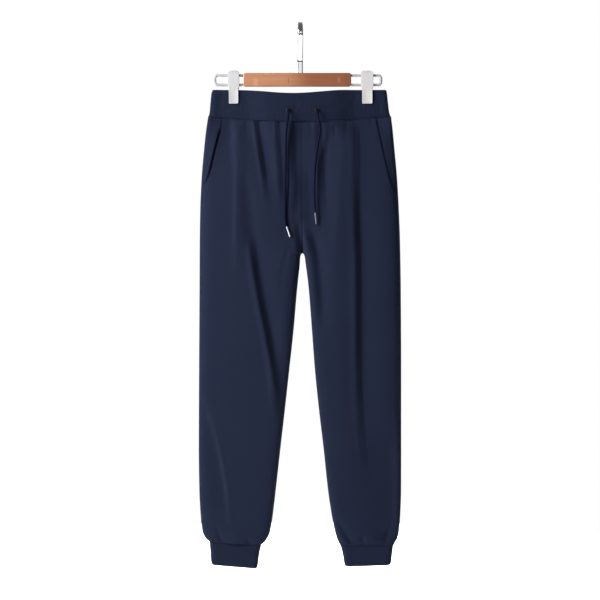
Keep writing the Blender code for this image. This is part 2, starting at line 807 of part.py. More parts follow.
def make_clip(side, material):
    """A folded plastic clip: its slot takes the two wires above and the waistband between the jaws."""
    middle = CLIP_X[side]
    head, jaw = CLIP_HEAD_WIDTH / 2, CLIP_JAW_WIDTH / 2
    outline = rounded_corner(head, -CLIP_TOP_DOWN, CLIP_HEAD_CORNER, 0.0)
    outline += rounded_corner(-head, -CLIP_TOP_DOWN, CLIP_HEAD_CORNER, 90.0)
    outline += [(-head, -CLIP_SHOULDER_DOWN), (-jaw, -CLIP_JAW_DOWN)]
    outline += rounded_corner(-jaw, -CLIP_BOTTOM_DOWN, CLIP_JAW_CORNER, 180.0)
    outline += rounded_corner(jaw, -CLIP_BOTTOM_DOWN, CLIP_JAW_CORNER, 270.0)
    outline += [(jaw, -CLIP_JAW_DOWN), (head, -CLIP_SHOULDER_DOWN)]

    def prism(name, corners, depth):
        bm = bmesh.new()
        face = bm.faces.new([bm.verts.new(corner) for corner in corners])
        moved_part = bmesh.ops.extrude_face_region(bm, geom=[face])["geom"]
        new_corners = [item for item in moved_part if isinstance(item, bmesh.types.BMVert)]
        bmesh.ops.translate(bm, vec=depth, verts=new_corners)
        return new_object(name, bm, material)

    front = prism(
        f"clip_outline_{side}",
        [(middle + x, -CLIP_WIDEST, z) for x, z in outline],
        (0.0, 2 * CLIP_WIDEST, 0.0),
    )
    front.hide_render = True
    front.display_type = "WIRE"
    left_leg = [(-half, down) for down, half in reversed(CLIP_OUTSIDE)]
    right_leg = [(half, down) for down, half in CLIP_OUTSIDE]
    slot = [(half, down) for down, half in reversed(CLIP_SLOT)]
    slot += [(-half, down) for down, half in CLIP_SLOT]
    clip = prism(
        f"hanger_clip_{side}",
        [(middle - CLIP_HEAD_WIDTH, y, -down) for y, down in left_leg + right_leg + slot],
        (2 * CLIP_HEAD_WIDTH, 0.0, 0.0),
    )
    shaped = clip.modifiers.new("front outline", "BOOLEAN")
    shaped.operation = "INTERSECT"
    shaped.object = front


# ---- build ----------------------------------------------------------------------------------------


def main():
    for obj in list(bpy.data.objects):
        bpy.data.objects.remove(obj, do_unlink=True)
    terry = new_material("navy_terry", (0.016, 0.023, 0.048), 0.85)
    rib = new_material("navy_rib", (0.015, 0.021, 0.044), 0.88)
    cord = new_material("navy_cord", (0.008, 0.010, 0.024), 0.8)
    silver = new_material("silver_metal", (0.75, 0.76, 0.80), 0.25, 1.0)
    gunmetal = new_material("gunmetal", (0.10, 0.10, 0.12), 0.35, 1.0)
    chrome = new_material("chrome", (0.80, 0.80, 0.82), 0.08, 1.0)
    wood = new_material("varnished_wood", (0.42, 0.17, 0.08), 0.35)
    plastic = new_material("white_plastic", (0.78, 0.78, 0.78), 0.3)
    waistband = make_waistband(rib)
    for side in SIDES:
        for face in FACES:
            make_panel(side, face, terry)
        make_facing(side, terry)
        make_cuff(side, rib)
        make_eyelet(side, waistband, gunmetal)
        make_drawstring(side, cord, silver)
        make_wire(side, chrome)
        make_clip(side, plastic)
    make_bar(wood)
    make_hook(chrome)


main()
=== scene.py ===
"""Jogger sweatpants hung by the waistband from a clip hanger, and how they look.

Sizes are in millimetres, and each mesh is scaled to metres as it is finished. Only the camera, floor
and lamps and the routes of the string's ends are in metres. "down" is the depth below the rail at
the origin. Left and right are the wearer's, so the left leg is at +X, and the front faces -Y.
"""

import functools
import math
from types import SimpleNamespace

import bmesh
import bpy
from mathutils import Matrix, Vector, noise as space_noise


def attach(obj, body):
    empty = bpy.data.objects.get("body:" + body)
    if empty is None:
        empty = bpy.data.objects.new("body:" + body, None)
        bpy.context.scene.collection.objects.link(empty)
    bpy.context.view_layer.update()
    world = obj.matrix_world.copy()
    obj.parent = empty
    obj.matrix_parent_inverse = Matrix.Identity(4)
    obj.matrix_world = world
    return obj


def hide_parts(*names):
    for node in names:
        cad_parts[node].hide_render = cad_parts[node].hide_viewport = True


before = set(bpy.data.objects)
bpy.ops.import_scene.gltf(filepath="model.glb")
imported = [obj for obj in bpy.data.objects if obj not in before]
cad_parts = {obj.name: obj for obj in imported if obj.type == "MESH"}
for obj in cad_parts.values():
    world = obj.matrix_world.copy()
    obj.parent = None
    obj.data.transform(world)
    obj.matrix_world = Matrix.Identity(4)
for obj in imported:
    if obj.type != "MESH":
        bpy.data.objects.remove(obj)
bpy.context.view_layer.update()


# ---- Camera, floor and light ----
# A level camera stands straight in front at the height of the knees. The floor is a pale disc below
# the cuffs. A soft lamp shines from the viewer's upper left into an even white surround.

CAMERA_AWAY = 3.5
CAMERA_DOWN = 0.580
CAMERA_LENS = 100.0
SENSOR_WIDTH = 36.0
FLOOR_DOWN = 1.30
FLOOR_RADIUS = 1.9
FLOOR_LAMP_SPREAD = math.radians(60.0)


def plug(tree, socket, value):
    """Links an output to a socket, or gives the socket a plain value."""
    if isinstance(value, bpy.types.NodeSocket):
        tree.links.new(value, socket)
    else:
        socket.default_value = value


def set_sockets(tree, node, **sockets):
    """Plugs values into a node's sockets, whose names have _ for a space."""
    for name, value in sockets.items():
        plug(tree, node.inputs[name.replace("_", " ")], value)


def shader_node(tree, kind, **sockets):
    node = tree.nodes.new(f"ShaderNode{kind}")
    set_sockets(tree, node, **sockets)
    return node


def new_finish(name, **sockets):
    """A material with its node tree, its shader and its object coordinates."""
    material = bpy.data.materials.new(name)
    material.use_nodes = True
    tree = material.node_tree
    shader = tree.nodes["Principled BSDF"]
    set_sockets(tree, shader, **sockets)
    return material, tree, shader, shader_node(tree, "TexCoord").outputs["Object"]


def add_object(name, bm, material):
    mesh = bpy.data.meshes.new(name)
    bm.to_mesh(mesh)
    bm.free()
    mesh.materials.append(material)
    added = bpy.data.objects.new(name, mesh)
    bpy.context.collection.objects.link(added)
    return added


def make_floor():
    bm = bmesh.new()
    bmesh.ops.create_circle(bm, cap_ends=True, segments=96, radius=FLOOR_RADIUS)
    bmesh.ops.translate(bm, vec=(0.0, 0.0, -FLOOR_DOWN), verts=bm.verts)
    paint = new_finish("pale floor", Base_Color=(0.93, 0.93, 0.93, 1.0), Roughness=0.9)[0]
    add_object("floor", bm, paint)


def white_surround(backdrop, room):
    """Pure white where the camera looks, lit by a pale backdrop behind and a dim room in front."""
    world = bpy.data.worlds.new("white surround")
    world.use_nodes = True
    tree = world.node_tree
    seen = tree.nodes["Background"]
    set_sockets(tree, seen, Color=(1.0, 1.0, 1.0, 1.0))
    way = shader_node(tree, "TexCoord").outputs["Generated"]
    forwards = shader_node(tree, "SeparateXYZ", Vector=way).outputs["Y"]
    strength = shader_node(
        tree, "MapRange", Value=forwards, From_Min=0.15, From_Max=0.55, To_Min=room, To_Max=backdrop
    ).outputs[0]
    lighting = shader_node(tree, "Background", Color=(0.96, 0.98, 1.0, 1.0), Strength=strength)
    mix = shader_node(tree, "MixShader", Fac=shader_node(tree, "LightPath").outputs["Is Camera Ray"])
    plug(tree, mix.inputs[1], lighting.outputs[0])
    plug(tree, mix.inputs[2], seen.outputs[0])
    plug(tree, tree.nodes["World Output"].inputs["Surface"], mix.outputs[0])
    bpy.context.scene.world = world


def soft_lamp(name, place, aim, size, power, colour=(1.0, 1.0, 1.0)):
    data = bpy.data.lights.new(name, "AREA")
    data.shape = "DISK"
    data.size = size
    data.energy = power
    data.color = colour
    lamp = bpy.data.objects.new(name, data)
    lamp.location = place
    lamp.rotation_euler = (Vector(aim) - Vector(place)).to_track_quat("-Z", "Y").to_euler()
    lamp.visible_camera = False
    bpy.context.collection.objects.link(lamp)
    return lamp


camera_data = bpy.data.cameras.new("camera")
camera_data.lens = CAMERA_LENS
camera_data.sensor_width = SENSOR_WIDTH
camera = bpy.data.objects.new("camera", camera_data)
camera.location = (0.0, -CAMERA_AWAY, -CAMERA_DOWN)
camera.rotation_euler = (math.pi / 2, 0.0, 0.0)
bpy.context.collection.objects.link(camera)
bpy.context.scene.camera = camera
bpy.context.scene.view_settings.view_transform = "Standard"

white_surround(0.22, 0.12)
make_floor()
soft_lamp("key lamp", (-1.42, -1.05, 0.36), (-0.42, 0.0, 0.16), 1.0, 55.0, (1.0, 0.99, 0.97))
soft_lamp("low lamp", (-1.40, -0.70, -0.95), (-0.25, 0.0, -0.80), 0.5, 8.0)
soft_lamp("front lamp", (0.50, -4.0, 0.47), (0.0, 0.0, 0.1), 1.2, 3.2)
soft_lamp("rim lamp", (1.35, 1.05, -0.45), (0.2, 0.0, -0.6), 0.6, 34.0).visible_glossy = False
floor_lamp = soft_lamp("floor lamp", (0.0, 1.3, 2.2), (0.0, 1.5, -1.3), 1.0, 48.0)
floor_lamp.data.spread = FLOOR_LAMP_SPREAD
floor_lamp.visible_glossy = False
# A white card below the camera, which only shows in the neck of the hook
card = soft_lamp("card", (0.14, -1.15, -0.70), (0.0, 0.0, -0.07), 0.6, 1.1)
card.visible_diffuse = False


# ---- Free ends of the drawstring ----
# A round cord 4.5 mm thick, braided from dark strands, comes out of each eyelet, drops over its lip
# and hangs down the front. Its end is crimped in a short bright metal tip.

MM = 0.001
CORD_RADIUS = 2.25
CORD_STEP = 0.7
CORD_SIDES = 32
BRAID_STRANDS = 4
BRAID_TURN = 15.0
BRAID_RELIEF = 0.17
BRAID_SINK = 0.3
# Down the middle of each free end, in metres
CORD_ROUTES = {
    "right": (
        (-0.0239, -0.0099, -0.1833),
        (-0.0239, -0.0160, -0.1833),
        (-0.0240, -0.0207, -0.1846),
        (-0.0242, -0.0241, -0.1880),
        (-0.0246, -0.0254, -0.1927),
        (-0.0256, -0.0257, -0.2020),
        (-0.0274, -0.0258, -0.2160),
        (-0.0290, -0.0259, -0.2380),
        (-0.0298, -0.0260, -0.2620),
        (-0.0301, -0.0261, -0.2900),
        (-0.0305, -0.0263, -0.3200),
        (-0.0307, -0.0264, -0.3500),
        (-0.0308, -0.0265, -0.3800),
        (-0.0309, -0.0266, -0.4020),
        (-0.0306, -0.0266, -0.4120),
        (-0.0299, -0.0266, -0.4199),
        (-0.0277, -0.0266, -0.4265),
    ),
    "left": (
        (0.0357, -0.0099, -0.1833),
        (0.0357, -0.0160, -0.1833),
        (0.0358, -0.0207, -0.1846),
        (0.0362, -0.0241, -0.1880),
        (0.0369, -0.0254, -0.1930),
        (0.0388, -0.0256, -0.2030),
        (0.0410, -0.0257, -0.2140),
        (0.0419, -0.0258, -0.2260),
        (0.0407, -0.0258, -0.2380),
        (0.0382, -0.0258, -0.2500),
        (0.0346, -0.0258, -0.2740),
        (0.0319, -0.0259, -0.3000),
        (0.0304, -0.0261, -0.3300),
        (0.0300, -0.0263, -0.3580),
        (0.0308, -0.0265, -0.3800),
        (0.0319, -0.0266, -0.3983),
    ),
}
# Points between two of a route's own, and the step of a path along each cord, in metres, which is worked
# out but not used
CURVE_STEPS = 40
PATH_STEP = 0.003
TIP_ENDS = {"right": (-20.4, -26.6, -448.5), "left": (34.2, -26.7, -421.8)}
TIP_GAP = 0.3
TIP_SIDES = 32
TIP_SLIMNESS = 0.86
# A tip's outline: radius, share of its length
TIP_OUTLINE = (
    (0, 0),
    (2.1, 0),
    (2.6, 0.015),
    (2.7, 0.05),
    (2.55, 0.09),
    (2.35, 0.12),
    (2.5, 0.16),
    (2.55, 0.22),
    (2.55, 0.80),
    (2.5, 0.84),
    (2.35, 0.88),
    (2.5, 0.92),
    (2.45, 0.96),
    (2.1, 0.99),
    (1.5, 1),
    (0, 1),
)


def steps(start, end, count):
    """Values from start, each a step on, without the end itself."""
    return [start + (end - start) * n / count for n in range(count)]


def steps_to(start, end, count):
    """The same, with the end."""
    return steps(start, end, count) + [end]


def smooth_route(route, step):
    """Points at an even step along a smooth curve through a route's own points."""
    route = [Vector(point) for point in route]
    ends = [route[0] * 2 - route[1]] + route + [route[-1] * 2 - route[-2]]
    fine = []
    for a, b, c, d in zip(ends, ends[1:], ends[2:], ends[3:]):
        for t in steps(0.0, 1.0, CURVE_STEPS):
            bend, twist = 2 * a - 5 * b + 4 * c - d, 3 * b - a - 3 * c + d
            fine.append(0.5 * (2 * b + (c - a) * t + bend * t**2 + twist * t**3))
    fine.append(route[-1])
    points, walked = [fine[0]], 0.0
    for p, q in zip(fine, fine[1:]):
        walked += (q - p).length
        if walked >= step:
            points.append(q)
            walked -= step
    points[-1] = fine[-1]
    return points


def flat_grid(columns, rows):
    """A flat grid of quads, and its corners as a list of rows that starts at the top left."""
    bm = bmesh.new()
    bmesh.ops.create_grid(bm, x_segments=columns, y_segments=rows, size=1.0)
    lines = [[None] * (columns + 1) for _ in range(rows + 1)]
    for vert in bm.verts:
        row, column = round((1.0 - vert.co.y) / 2.0 * rows), round((vert.co.x + 1.0) / 2.0 * columns)
        lines[row][column] = vert
    return bm, lines


def lay_pattern(bm, lines):
    """A UV map in metres, with the cloth's grain upright, measured along each row and down its middle."""
    layer = bm.loops.layers.uv.new("cloth")
    places, down, middle = {}, 0.0, len(lines[0]) // 2
    for above, line in zip([lines[0]] + lines, lines):
        step = line[middle].co - above[middle].co
        down += math.hypot(step.y, step.z)
        walked = [0.0]
        for before, vert in zip(line, line[1:]):
            walked.append(walked[-1] + (vert.co - before.co).length)
        way = math.copysign(1.0, line[middle + 1].co.x - line[middle].co.x)
        for vert, along in zip(line, walked):
            u = line[middle].co.x + way * (along - walked[middle])
            places[vert] = (u * MM, -down * MM)
    for face in bm.faces:
        for loop in face.loops:
            loop[layer].uv = places[loop.vert]


def merge_doubles(bm, distance=0.0001):
    bmesh.ops.remove_doubles(bm, verts=bm.verts, dist=distance)


def face_outwards(bm):
    bmesh.ops.recalc_face_normals(bm, faces=bm.faces)


def ring_mesh(rows):
    """A skin over rings of points, each closed on itself, with a UV map and two open ends."""
    bm, lines = flat_grid(len(rows[0]), len(rows) - 1)
    for line, row in zip(lines, rows):
        for vert, point in zip(line, row + row[:1]):
            vert.co = point
    lay_pattern(bm, lines)
    merge_doubles(bm)
    return bm


def sweep(points, aside, section):
    """A closed bar along points. section gives its outline at a distance, as (aside, across) pairs."""
    rows, walked = [], 0.0
    for before, point, after in zip([points[0]] + points, points, points[1:] + [points[-1]]):
        way = (after - before).normalized()
        side = (aside - way * aside.dot(way)).normalized()
        across = way.cross(side)
        walked += (point - before).length
        rows.append([point + side * a + across * b for a, b in section(walked)])
    bm = ring_mesh(rows)
    bmesh.ops.holes_fill(bm, edges=[edge for edge in bm.edges if edge.is_boundary], sides=0)
    face_outwards(bm)
    return bm


def turned(outline, centre, axis, sides):
    """A round shape turned about an axis from an outline, which may come back to its first point."""
    bm = bmesh.new()
    corners = [bm.verts.new(point) for point in outline]
    edges = [bm.edges.new(pair) for pair in zip(corners, corners[1:])]
    bmesh.ops.spin(
        bm, geom=corners + edges, cent=centre, axis=axis, angle=2 * math.pi, steps=sides, use_merge=True
    )
    merge_doubles(bm)
    face_outwards(bm)
    return bm


def finish_piece(name, bm, material, node=None, sharp=None):
    """Turns a bmesh in millimetres into a finished piece of the object, which may replace a node."""
    bmesh.ops.scale(bm, vec=(MM, MM, MM), verts=bm.verts)
    piece = add_object(name, bm, material)
    piece.data.shade_smooth()
    if sharp:
        piece.data.set_sharp_from_angle(angle=math.radians(sharp))
    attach(piece, "root")
    if node:
        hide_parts(node)
    return piece


def reckon(tree, operation, *values):
    """The result of a math node on sockets or numbers."""
    node = shader_node(tree, "Math")
    node.operation = operation
    for socket, value in zip(node.inputs, values):
        plug(tree, socket, value)
    return node.outputs[0]


def noise(tree, place, scale, detail=2.0):
    return shader_node(tree, "TexNoise", Vector=place, Scale=scale, Detail=detail).outputs["Fac"]


def blend_colours(tree, share, first, second):
    """A mix of two colours, each of which may be a socket."""
    node = shader_node(tree, "Mix")
    node.data_type = "RGBA"
    plug(tree, node.inputs["Factor"], share)
    for socket, colour in zip((node.inputs[6], node.inputs[7]), (first, second)):
        plug(tree, socket, (*colour, 1.0) if isinstance(colour, tuple) else colour)
    return node.outputs[2]


def set_relief(tree, shader, height, depth):
    """A bump of a depth in metres."""
    bump = shader_node(tree, "Bump", Strength=1.0, Distance=depth, Height=height)
    set_sockets(tree, shader, Normal=bump.outputs["Normal"])


def fibre_finish(name, dark, light, fineness, relief, roughness, specular):
    """Twisted or braided fibres in two near navies, with their own fine grain."""
    material, tree, shader, place = new_finish(name, Roughness=roughness, Specular_IOR_Level=specular)
    grain = noise(tree, place, fineness)
    set_sockets(tree, shader, Base_Color=blend_colours(tree, grain, dark, light))
    set_relief(tree, shader, grain, relief)
    return material


def clouded_finish(name, colour, worn, clouds, roughness, spread, waves=0.0, **sockets):
    """A smooth finish with soft clouds of wear or soiling, and perhaps the waviness of moulding."""
    material, tree, shader, place = new_finish(name, **sockets)
    wear = noise(tree, place, clouds, 3.0)
    rough = reckon(tree, "MULTIPLY_ADD", wear, spread, roughness)
    set_sockets(tree, shader, Base_Color=blend_colours(tree, wear, colour, worn), Roughness=rough)
    if waves:
        set_relief(tree, shader, noise(tree, place, 900.0), waves)
    return material


def metal_finish(name, colour, dull, roughness, metallic=1.0):
    """Plated metal or wire with soft cloudy wear."""
    return clouded_finish(name, colour, dull, 260.0, roughness, 0.25, Metallic=metallic)


def braided_round(walked):
    outline = []
    for angle in steps(0.0, 2 * math.pi, CORD_SIDES):
        wound = 2 * math.pi * walked / BRAID_TURN
        one, other = (math.cos(BRAID_STRANDS * (angle + s * wound)) for s in (1, -1))
        radius = CORD_RADIUS + BRAID_RELIEF * (one * other - BRAID_SINK)
        outline.append((radius * math.cos(angle), radius * math.sin(angle)))
    return outline


def make_string(side, material):
    points = smooth_route([Vector(point) / MM for point in CORD_ROUTES[side]], CORD_STEP)
    bm = sweep(points, Vector((1.0, 0.0, 0.0)), braided_round)
    return finish_piece(f"string_{side}", bm, material, f"drawstring_{side}")


def make_tip(side, material):
    start, end = Vector(CORD_ROUTES[side][-1]) / MM, Vector(TIP_ENDS[side])
    way = (end - start).normalized()
    start += way * TIP_GAP
    length = (end - start).length
    outline = [(radius * TIP_SLIMNESS, 0.0, share * length) for radius, share in TIP_OUTLINE]
    bm = turned(outline, (0, 0, 0), (0, 0, 1), TIP_SIDES)
    bmesh.ops.rotate(bm, cent=(0, 0, 0), matrix=way.to_track_quat("Z", "Y").to_matrix(), verts=bm.verts)
    bmesh.ops.translate(bm, vec=start, verts=bm.verts)
    return finish_piece(f"string_tip_{side}", bm, material, f"aglet_{side}", 50)


braid = fibre_finish(
    "braided cord", (0.0028, 0.0040, 0.0165), (0.0058, 0.0080, 0.0260), 1400.0, 0.0002, 0.8, 0.06
)
# Both tips are one metal; the left tip's copy is painted darker, as painted shade.
tip_metal = {
    "right": metal_finish("bright tip metal", (0.74, 0.76, 0.82), (0.52, 0.54, 0.61), 0.22),
    "left": metal_finish("tip metal painted darker", (0.25, 0.26, 0.31), (0.16, 0.17, 0.21), 0.26),
}
for side in ("right", "left"):
    string = make_string(side, braid)
    tip = make_tip(side, tip_metal[side])
    [tuple(point) for point in smooth_route(CORD_ROUTES[side], PATH_STEP)]


# ---- Leg panels ----
# Two fronts and two backs of navy cotton terry, sewn to each other down the sides, the inner legs and
# the middle. Hung flat by the waistband, the cloth falls in long soft folds from the clips and bulges
# a little above each cuff. Each panel is a thin wall on the form of its solid.

SEAM_GAP = 0.01
PANEL_WALL = 2.0
CENTRE_SEAM_X = 5.0
CROTCH_DOWN = 482.0
CROTCH_CURVE = {"front": 85.0, "back": 125.0}
# The back's centre seam lies a little beside the front's, so that no light shows through both
BACK_SEAM_ASIDE = 0.5
BACK_SEAM_ASIDE_RISE = 30.0
CROWN = 0.10
FULLNESS = 3.0
# Column of each side in the tables, and its way from the outseam to the inseam
SIDES = {"right": 1, "left": 2}
INWARDS = {"right": 1.0, "left": -1.0}
# Column of each face in the table of depths, and its way out
FACES = {"front": (1, -1.0), "back": (2, 1.0)}
# down, x of the outseam on the right leg, x of the outseam on the left leg
OUTSEAM = (
    (195, -192.8, 191.2),
    (223, -197, 194.5),
    (256, -200.6, 197.6),
    (324, -206.4, 203.7),
    (391, -209.4, 207.5),
    (458, -210.4, 210),
    (560, -210.9, 211.7),
    (727, -211.9, 212.5),
    (895, -212.5, 212.5),
    (979, -211.3, 212.3),
    (1029, -208.7, 210.6),
    (1063, -205.4, 207.9),
    (1080, -197.5, 204.3),
    (1087, -190.8, 200.3),
    (1094, -190, 196.9),
)

# down, x of the inseam on the right leg, x of the inseam on the left leg
INSEAM = (
    (482, 4.97, 5.03),
    (482.25, 3.9, 6.2),
    (482.9, 3.1, 7.1),
    (484.5, 2.2, 8.2),
    (488, 1.1, 9.5),
    (492, 0.5, 10.3),
    (508, -0.6, 12.3),
    (525, -2.5, 14.7),
    (559, -6.1, 18.5),
    (643, -13.4, 25),
    (727, -22.5, 31.3),
    (811, -31.7, 39.9),
    (895, -41.4, 49.8),
    (979, -50.8, 58.8),
    (1029, -57, 66.2),
    (1063, -63.3, 72.7),
    (1080, -73.5, 77.5),
    (1087, -80.8, 80.5),
    (1094, -80.8, 83.8),
)

# down, half depth in front, half depth behind, radius of the turn at the outseam, at the inseam
DEPTH = (
    (195, 14, 14, 19, 22),
    (225, 17, 18, 24, 22),
    (260, 19.5, 21.5, 28, 24),
    (330, 22, 25, 32, 26),
    (420, 22.5, 26, 34, 28),
    (482, 21.5, 25, 34, 36),
    (560, 20, 23, 34, 42),
    (700, 18, 20.5, 34, 36),
    (850, 16.5, 18.5, 34, 32),
    (980, 16, 17.5, 32, 30),
    (1040, 16.5, 17.5, 30, 28),
    (1065, 16, 16.5, 27, 26),
    (1080, 13.5, 14, 22, 22),
    (1094, 11, 11, 16, 16),
)

WAIST_SEAM_DOWN = 194.6
WAIST_SEAM_SAG = 11.5
WAIST_SEAM_REACH = 192.0
WAIST_SAG_FADES_BY = 330.0
# down of the cuff seam at the outseam and at the inseam, down of the cuff's free edge at each
CUFF_ENDS = {
    "right": (1087, 1094, 1135.4, 1143),
    "left": (1094, 1094, 1135.6, 1139.2),
}
HEM_SLOPE_FROM = 1000.0
# down, x of the pocket mouth on the right leg, x of the pocket mouth on the left leg
POCKET_MOUTH = (
    (196, -161, 158.4),
    (236, -170.5, 165.3),
    (285, -182.3, 175.8),
    (322, -191.3, 184.4),
    (348, -203, 194.3),
    (358, -206.6, 199.2),
    (366, -208.6, 206.4),
)
# How far a mouth's edge is pulled towards the middle, the lengths over which it opens and closes, how
# far it stands off the facing, and how far that reaches
MOUTH_PULL = {"right": 2.6, "left": 0.0}
MOUTH_FADES = (30.0, 60.0)
POCKET_LIFT = {"right": 1.0, "left": 0.2}
POCKET_LIFT_REACH = 7.0

# The cloth pressed between the clips' jaws
CLIP_X = {"right": -139.2, "left": 141.1}
PRESSED_HALF = 4.3
PRESSED_FLAT = 22.0
PRESSED_SLOPE = 52.0
PRESSED_UNTIL_DOWN = 169.0
PRESSED_FADES_BY = 262.0

# Folds: depth, half width on the -X side and on the +X side, length over which it fades in and out,
# then the crease as (down, x). A fold with a negative depth is a soft ridge. One with a negative width
# is folded over on that side: the cloth drops steeply from a soft lip to the crease.
LIP = 0.5
LIP_AWAY = 1.7
LIP_REACH = 0.8
FRONT_FOLDS = (
    # The long folds of the right leg
    (5.4, -6.5, 18, 6, 110, ((188, -88), (216, -84), (280, -75.5), (313, -70.5), (349, -66), (395, -57))),
    (3.1, -7, 12, 8, 60, ((188, -43), (223, -42), (286, -38), (349, -34.5), (390, -33))),
    (3, 18, 6, 8, 90, ((188, -147), (230, -147), (310, -146))),
    (-3.2, 8, 17, 30, 120, ((192, -131), (320, -130), (454, -132), (560, -132))),
    (3, 17, 14, 70, 60, ((290, -128), (349, -111), (401, -103), (454, -95), (510, -87))),
    (
        6.4, -9, 34, 80, 100,
        ((425, -100), (454, -93), (517, -86), (580, -75), (664, -58), (765, -42), (840, -38)),
    ),
    (2, -5, 16, 60, 90, ((470, -96), (517, -90), (580, -79), (664, -62), (765, -46), (800, -43))),
    (4.6, 30, 7, 60, 110, ((770, -212), (852, -188), (917, -172.5), (985, -161), (1070, -154))),
    (-0.7, 4, 5, 60, 30, ((830, -181), (917, -161), (985, -150), (1055, -144))),
    (-2, 16, 16, 90, 120, ((560, -30), (640, -36), (860, -66))),
    # The fly's edge and the long folds of the left leg
    (4.2, -8, 30, 16, 50, ((188, -10.5), (223, -10), (286, -8.5), (349, -4.5), (401, -7), (430, -8))),
    (3.4, -7, 7, 30, 8, ((405, -5), (440, -1.5), (474, 2.5), (483, 4))),
    (4, -13, 24, 70, 50, ((270, 15), (340, 17), (400, 20), (450, 24))),
    (3.4, 34, 14, 30, 150, ((188, 44), (286, 48), (349, 50), (430, 50))),
    (2.8, -9, 10, 8, 110, ((188, 46), (223, 46.5), (286, 50), (349, 53), (430, 55))),
    (-3.4, 14, 30, 20, 160, ((200, 90), (286, 90), (349, 86), (401, 82), (580, 70))),
    (
        3.1, -10, 34, 50, 150,
        ((180, 124), (286, 126), (349, 124), (401, 124), (517, 127.5), (748, 130), (980, 148)),
    ),
    (3.6, -7, 30, 150, 220, ((290, 126), (401, 124), (517, 127.5), (664, 128), (748, 130), (890, 137))),
    (7.2, -10, 18, 40, 80, ((420, 17), (454, 29), (517, 39), (580, 44), (660, 46))),
    (6.5, 46, 14, 120, 14, ((800, 184), (980, 190), (1088, 190))),
    (-2.2, 22, 20, 120, 120, ((560, 80), (760, 90), (1010, 104))),
    # Small creases under the waistband and by the crotch
    (1.3, 3, 3, 8, 16, ((203, 72), (232, 72.5))),
    (1, 4, 3, 5, 26, ((190, -58), (235, -56))),
    (0.8, 3.4, 3.4, 5, 24, ((190, 98), (228, 97))),
    (1, 3, 4, 5, 30, ((190, 22), (240, 24))),
    (1.2, 3, 4, 5, 26, ((190, -112), (226, -112))),
    (0.8, 4, 4, 5, 26, ((190, 150), (226, 147))),
    (1.2, 5, 7, 30, 40, ((455, -22), (520, -36), (590, -44))),
    (0.6, 1.5, 1.5, 60, 60, ((500, 201.3), (600, 203.2), (800, 204.5))),
    # And above the cuffs
    (2.4, 6, 4, 20, 4, ((1046, -176), (1070, -168), (1092, -160))),
    (-2.6, 14, 18, 20, 3, ((1060, -136), (1092, -134))),
    (2.2, 5, 3, 12, 2, ((1068, -112), (1092, -104))),
    (0.8, 9, 7, 5, 5, ((996, -90), (1009, -62))),
    (1, 4, 3, 12, 12, ((1040, -74), (1070, -64))),
    (1.2, 3, 3.4, 14, 2, ((1064, -184), (1092, -178))),
    (3.4, -6, 8, 20, 4, ((1036, 76), (1062, 90), (1092, 108))),
    (2, 5, 4, 12, 2, ((1070, 128), (1092, 134))),
    (2.2, 6, 4, 20, 6, ((1050, 190), (1074, 183), (1092, 178))),
    (-1.6, 12, 12, 20, 3, ((1058, 152), (1092, 156))),
)
BACK_FOLDS = (
    # The long folds
    (5.4, 20, -6.5, 6, 110, ((188, -66), (260, -71), (330, -78), (430, -88), (500, -94))),
    (5, 17, -7, 6, 110, ((188, 92), (260, 94), (340, 96), (440, 102), (540, 112))),
    (3, 14, -6, 8, 90, ((188, -128), (250, -129), (330, -131), (400, -134))),
    (3.2, 18, -7, 8, 80, ((190, 136), (250, 138), (330, 140), (400, 143))),
    (5.6, 32, -9, 80, 110, ((450, -84), (560, -90), (680, -98), (800, -104), (930, -108))),
    (5.6, 34, -9, 80, 110, ((500, 78), (620, 90), (740, 102), (870, 116), (990, 125))),
    (2.2, 14, -5, 60, 100, ((560, -132), (680, -136), (800, -141), (900, -143))),
    (2.4, 16, -5, 60, 100, ((600, 146), (720, 150), (850, 154), (950, 155))),
    (4.2, 10, 30, 50, 14, ((890, -146), (1010, -152), (1086, -147))),
    (4, 12, 24, 50, 14, ((930, 142), (1030, 150), (1088, 145))),
    (3, 16, -6, 40, 90, ((410, -22), (470, -34), (540, -46), (620, -54))),
    (3.2, 18, -6, 40, 90, ((410, 32), (480, 46), (560, 56), (650, 62))),
    (2.6, 16, -7, 6, 120, ((190, 34), (262, 37), (350, 42), (400, 44))),
    (2.4, 16, -7, 6, 120, ((190, -24), (262, -28), (350, -36))),
    (-2.4, 20, 20, 60, 140, ((230, 164), (360, 170), (600, 172))),
    (-2.4, 20, 20, 60, 140, ((230, -156), (380, -164), (600, -170))),
    (-1.8, 16, 16, 90, 120, ((560, -50), (760, -66), (960, -78))),
    (-1.8, 16, 16, 90, 120, ((580, 62), (760, 72), (960, 82))),
    # Small creases under the waistband
    (1.1, 3.6, 3.6, 5, 30, ((190, 64), (236, 66))),
    (1, 3.6, 3.6, 5, 24, ((190, 118), (228, 120))),
    (0.9, 3.6, 3.6, 5, 30, ((190, -98), (240, -101))),
    (0.8, 3.4, 3.4, 5, 24, ((190, -152), (226, -154))),
    (0.8, 3.4, 3.4, 5, 30, ((190, 4), (236, 3))),
    # And above the cuffs
    (2.4, 6, 4, 20, 4, ((1040, -98), (1066, -107), (1092, -118))),
    (1.6, 4, 4, 12, 2, ((1058, -132), (1092, -136))),
    (1.4, 3, 4, 12, 2, ((1062, -170), (1092, -168))),
    (1.4, 4, 3, 12, 2, ((1066, -92), (1092, -94))),
    (1.4, 3, 3, 12, 2, ((1058, -184), (1092, -181))),
    (2.6, 4, 6, 20, 4, ((1038, 180), (1064, 170), (1092, 162))),
    (1.8, 4, 4, 12, 2, ((1058, 146), (1092, 143))),
    (1.4, 4, 3, 12, 2, ((1062, 126), (1092, 128))),
    (1.5, 3.2, 4, 12, 2, ((1060, 108), (1092, 105))),
    (1.2, 3, 3, 12, 2, ((1068, 190), (1092, 187))),
)
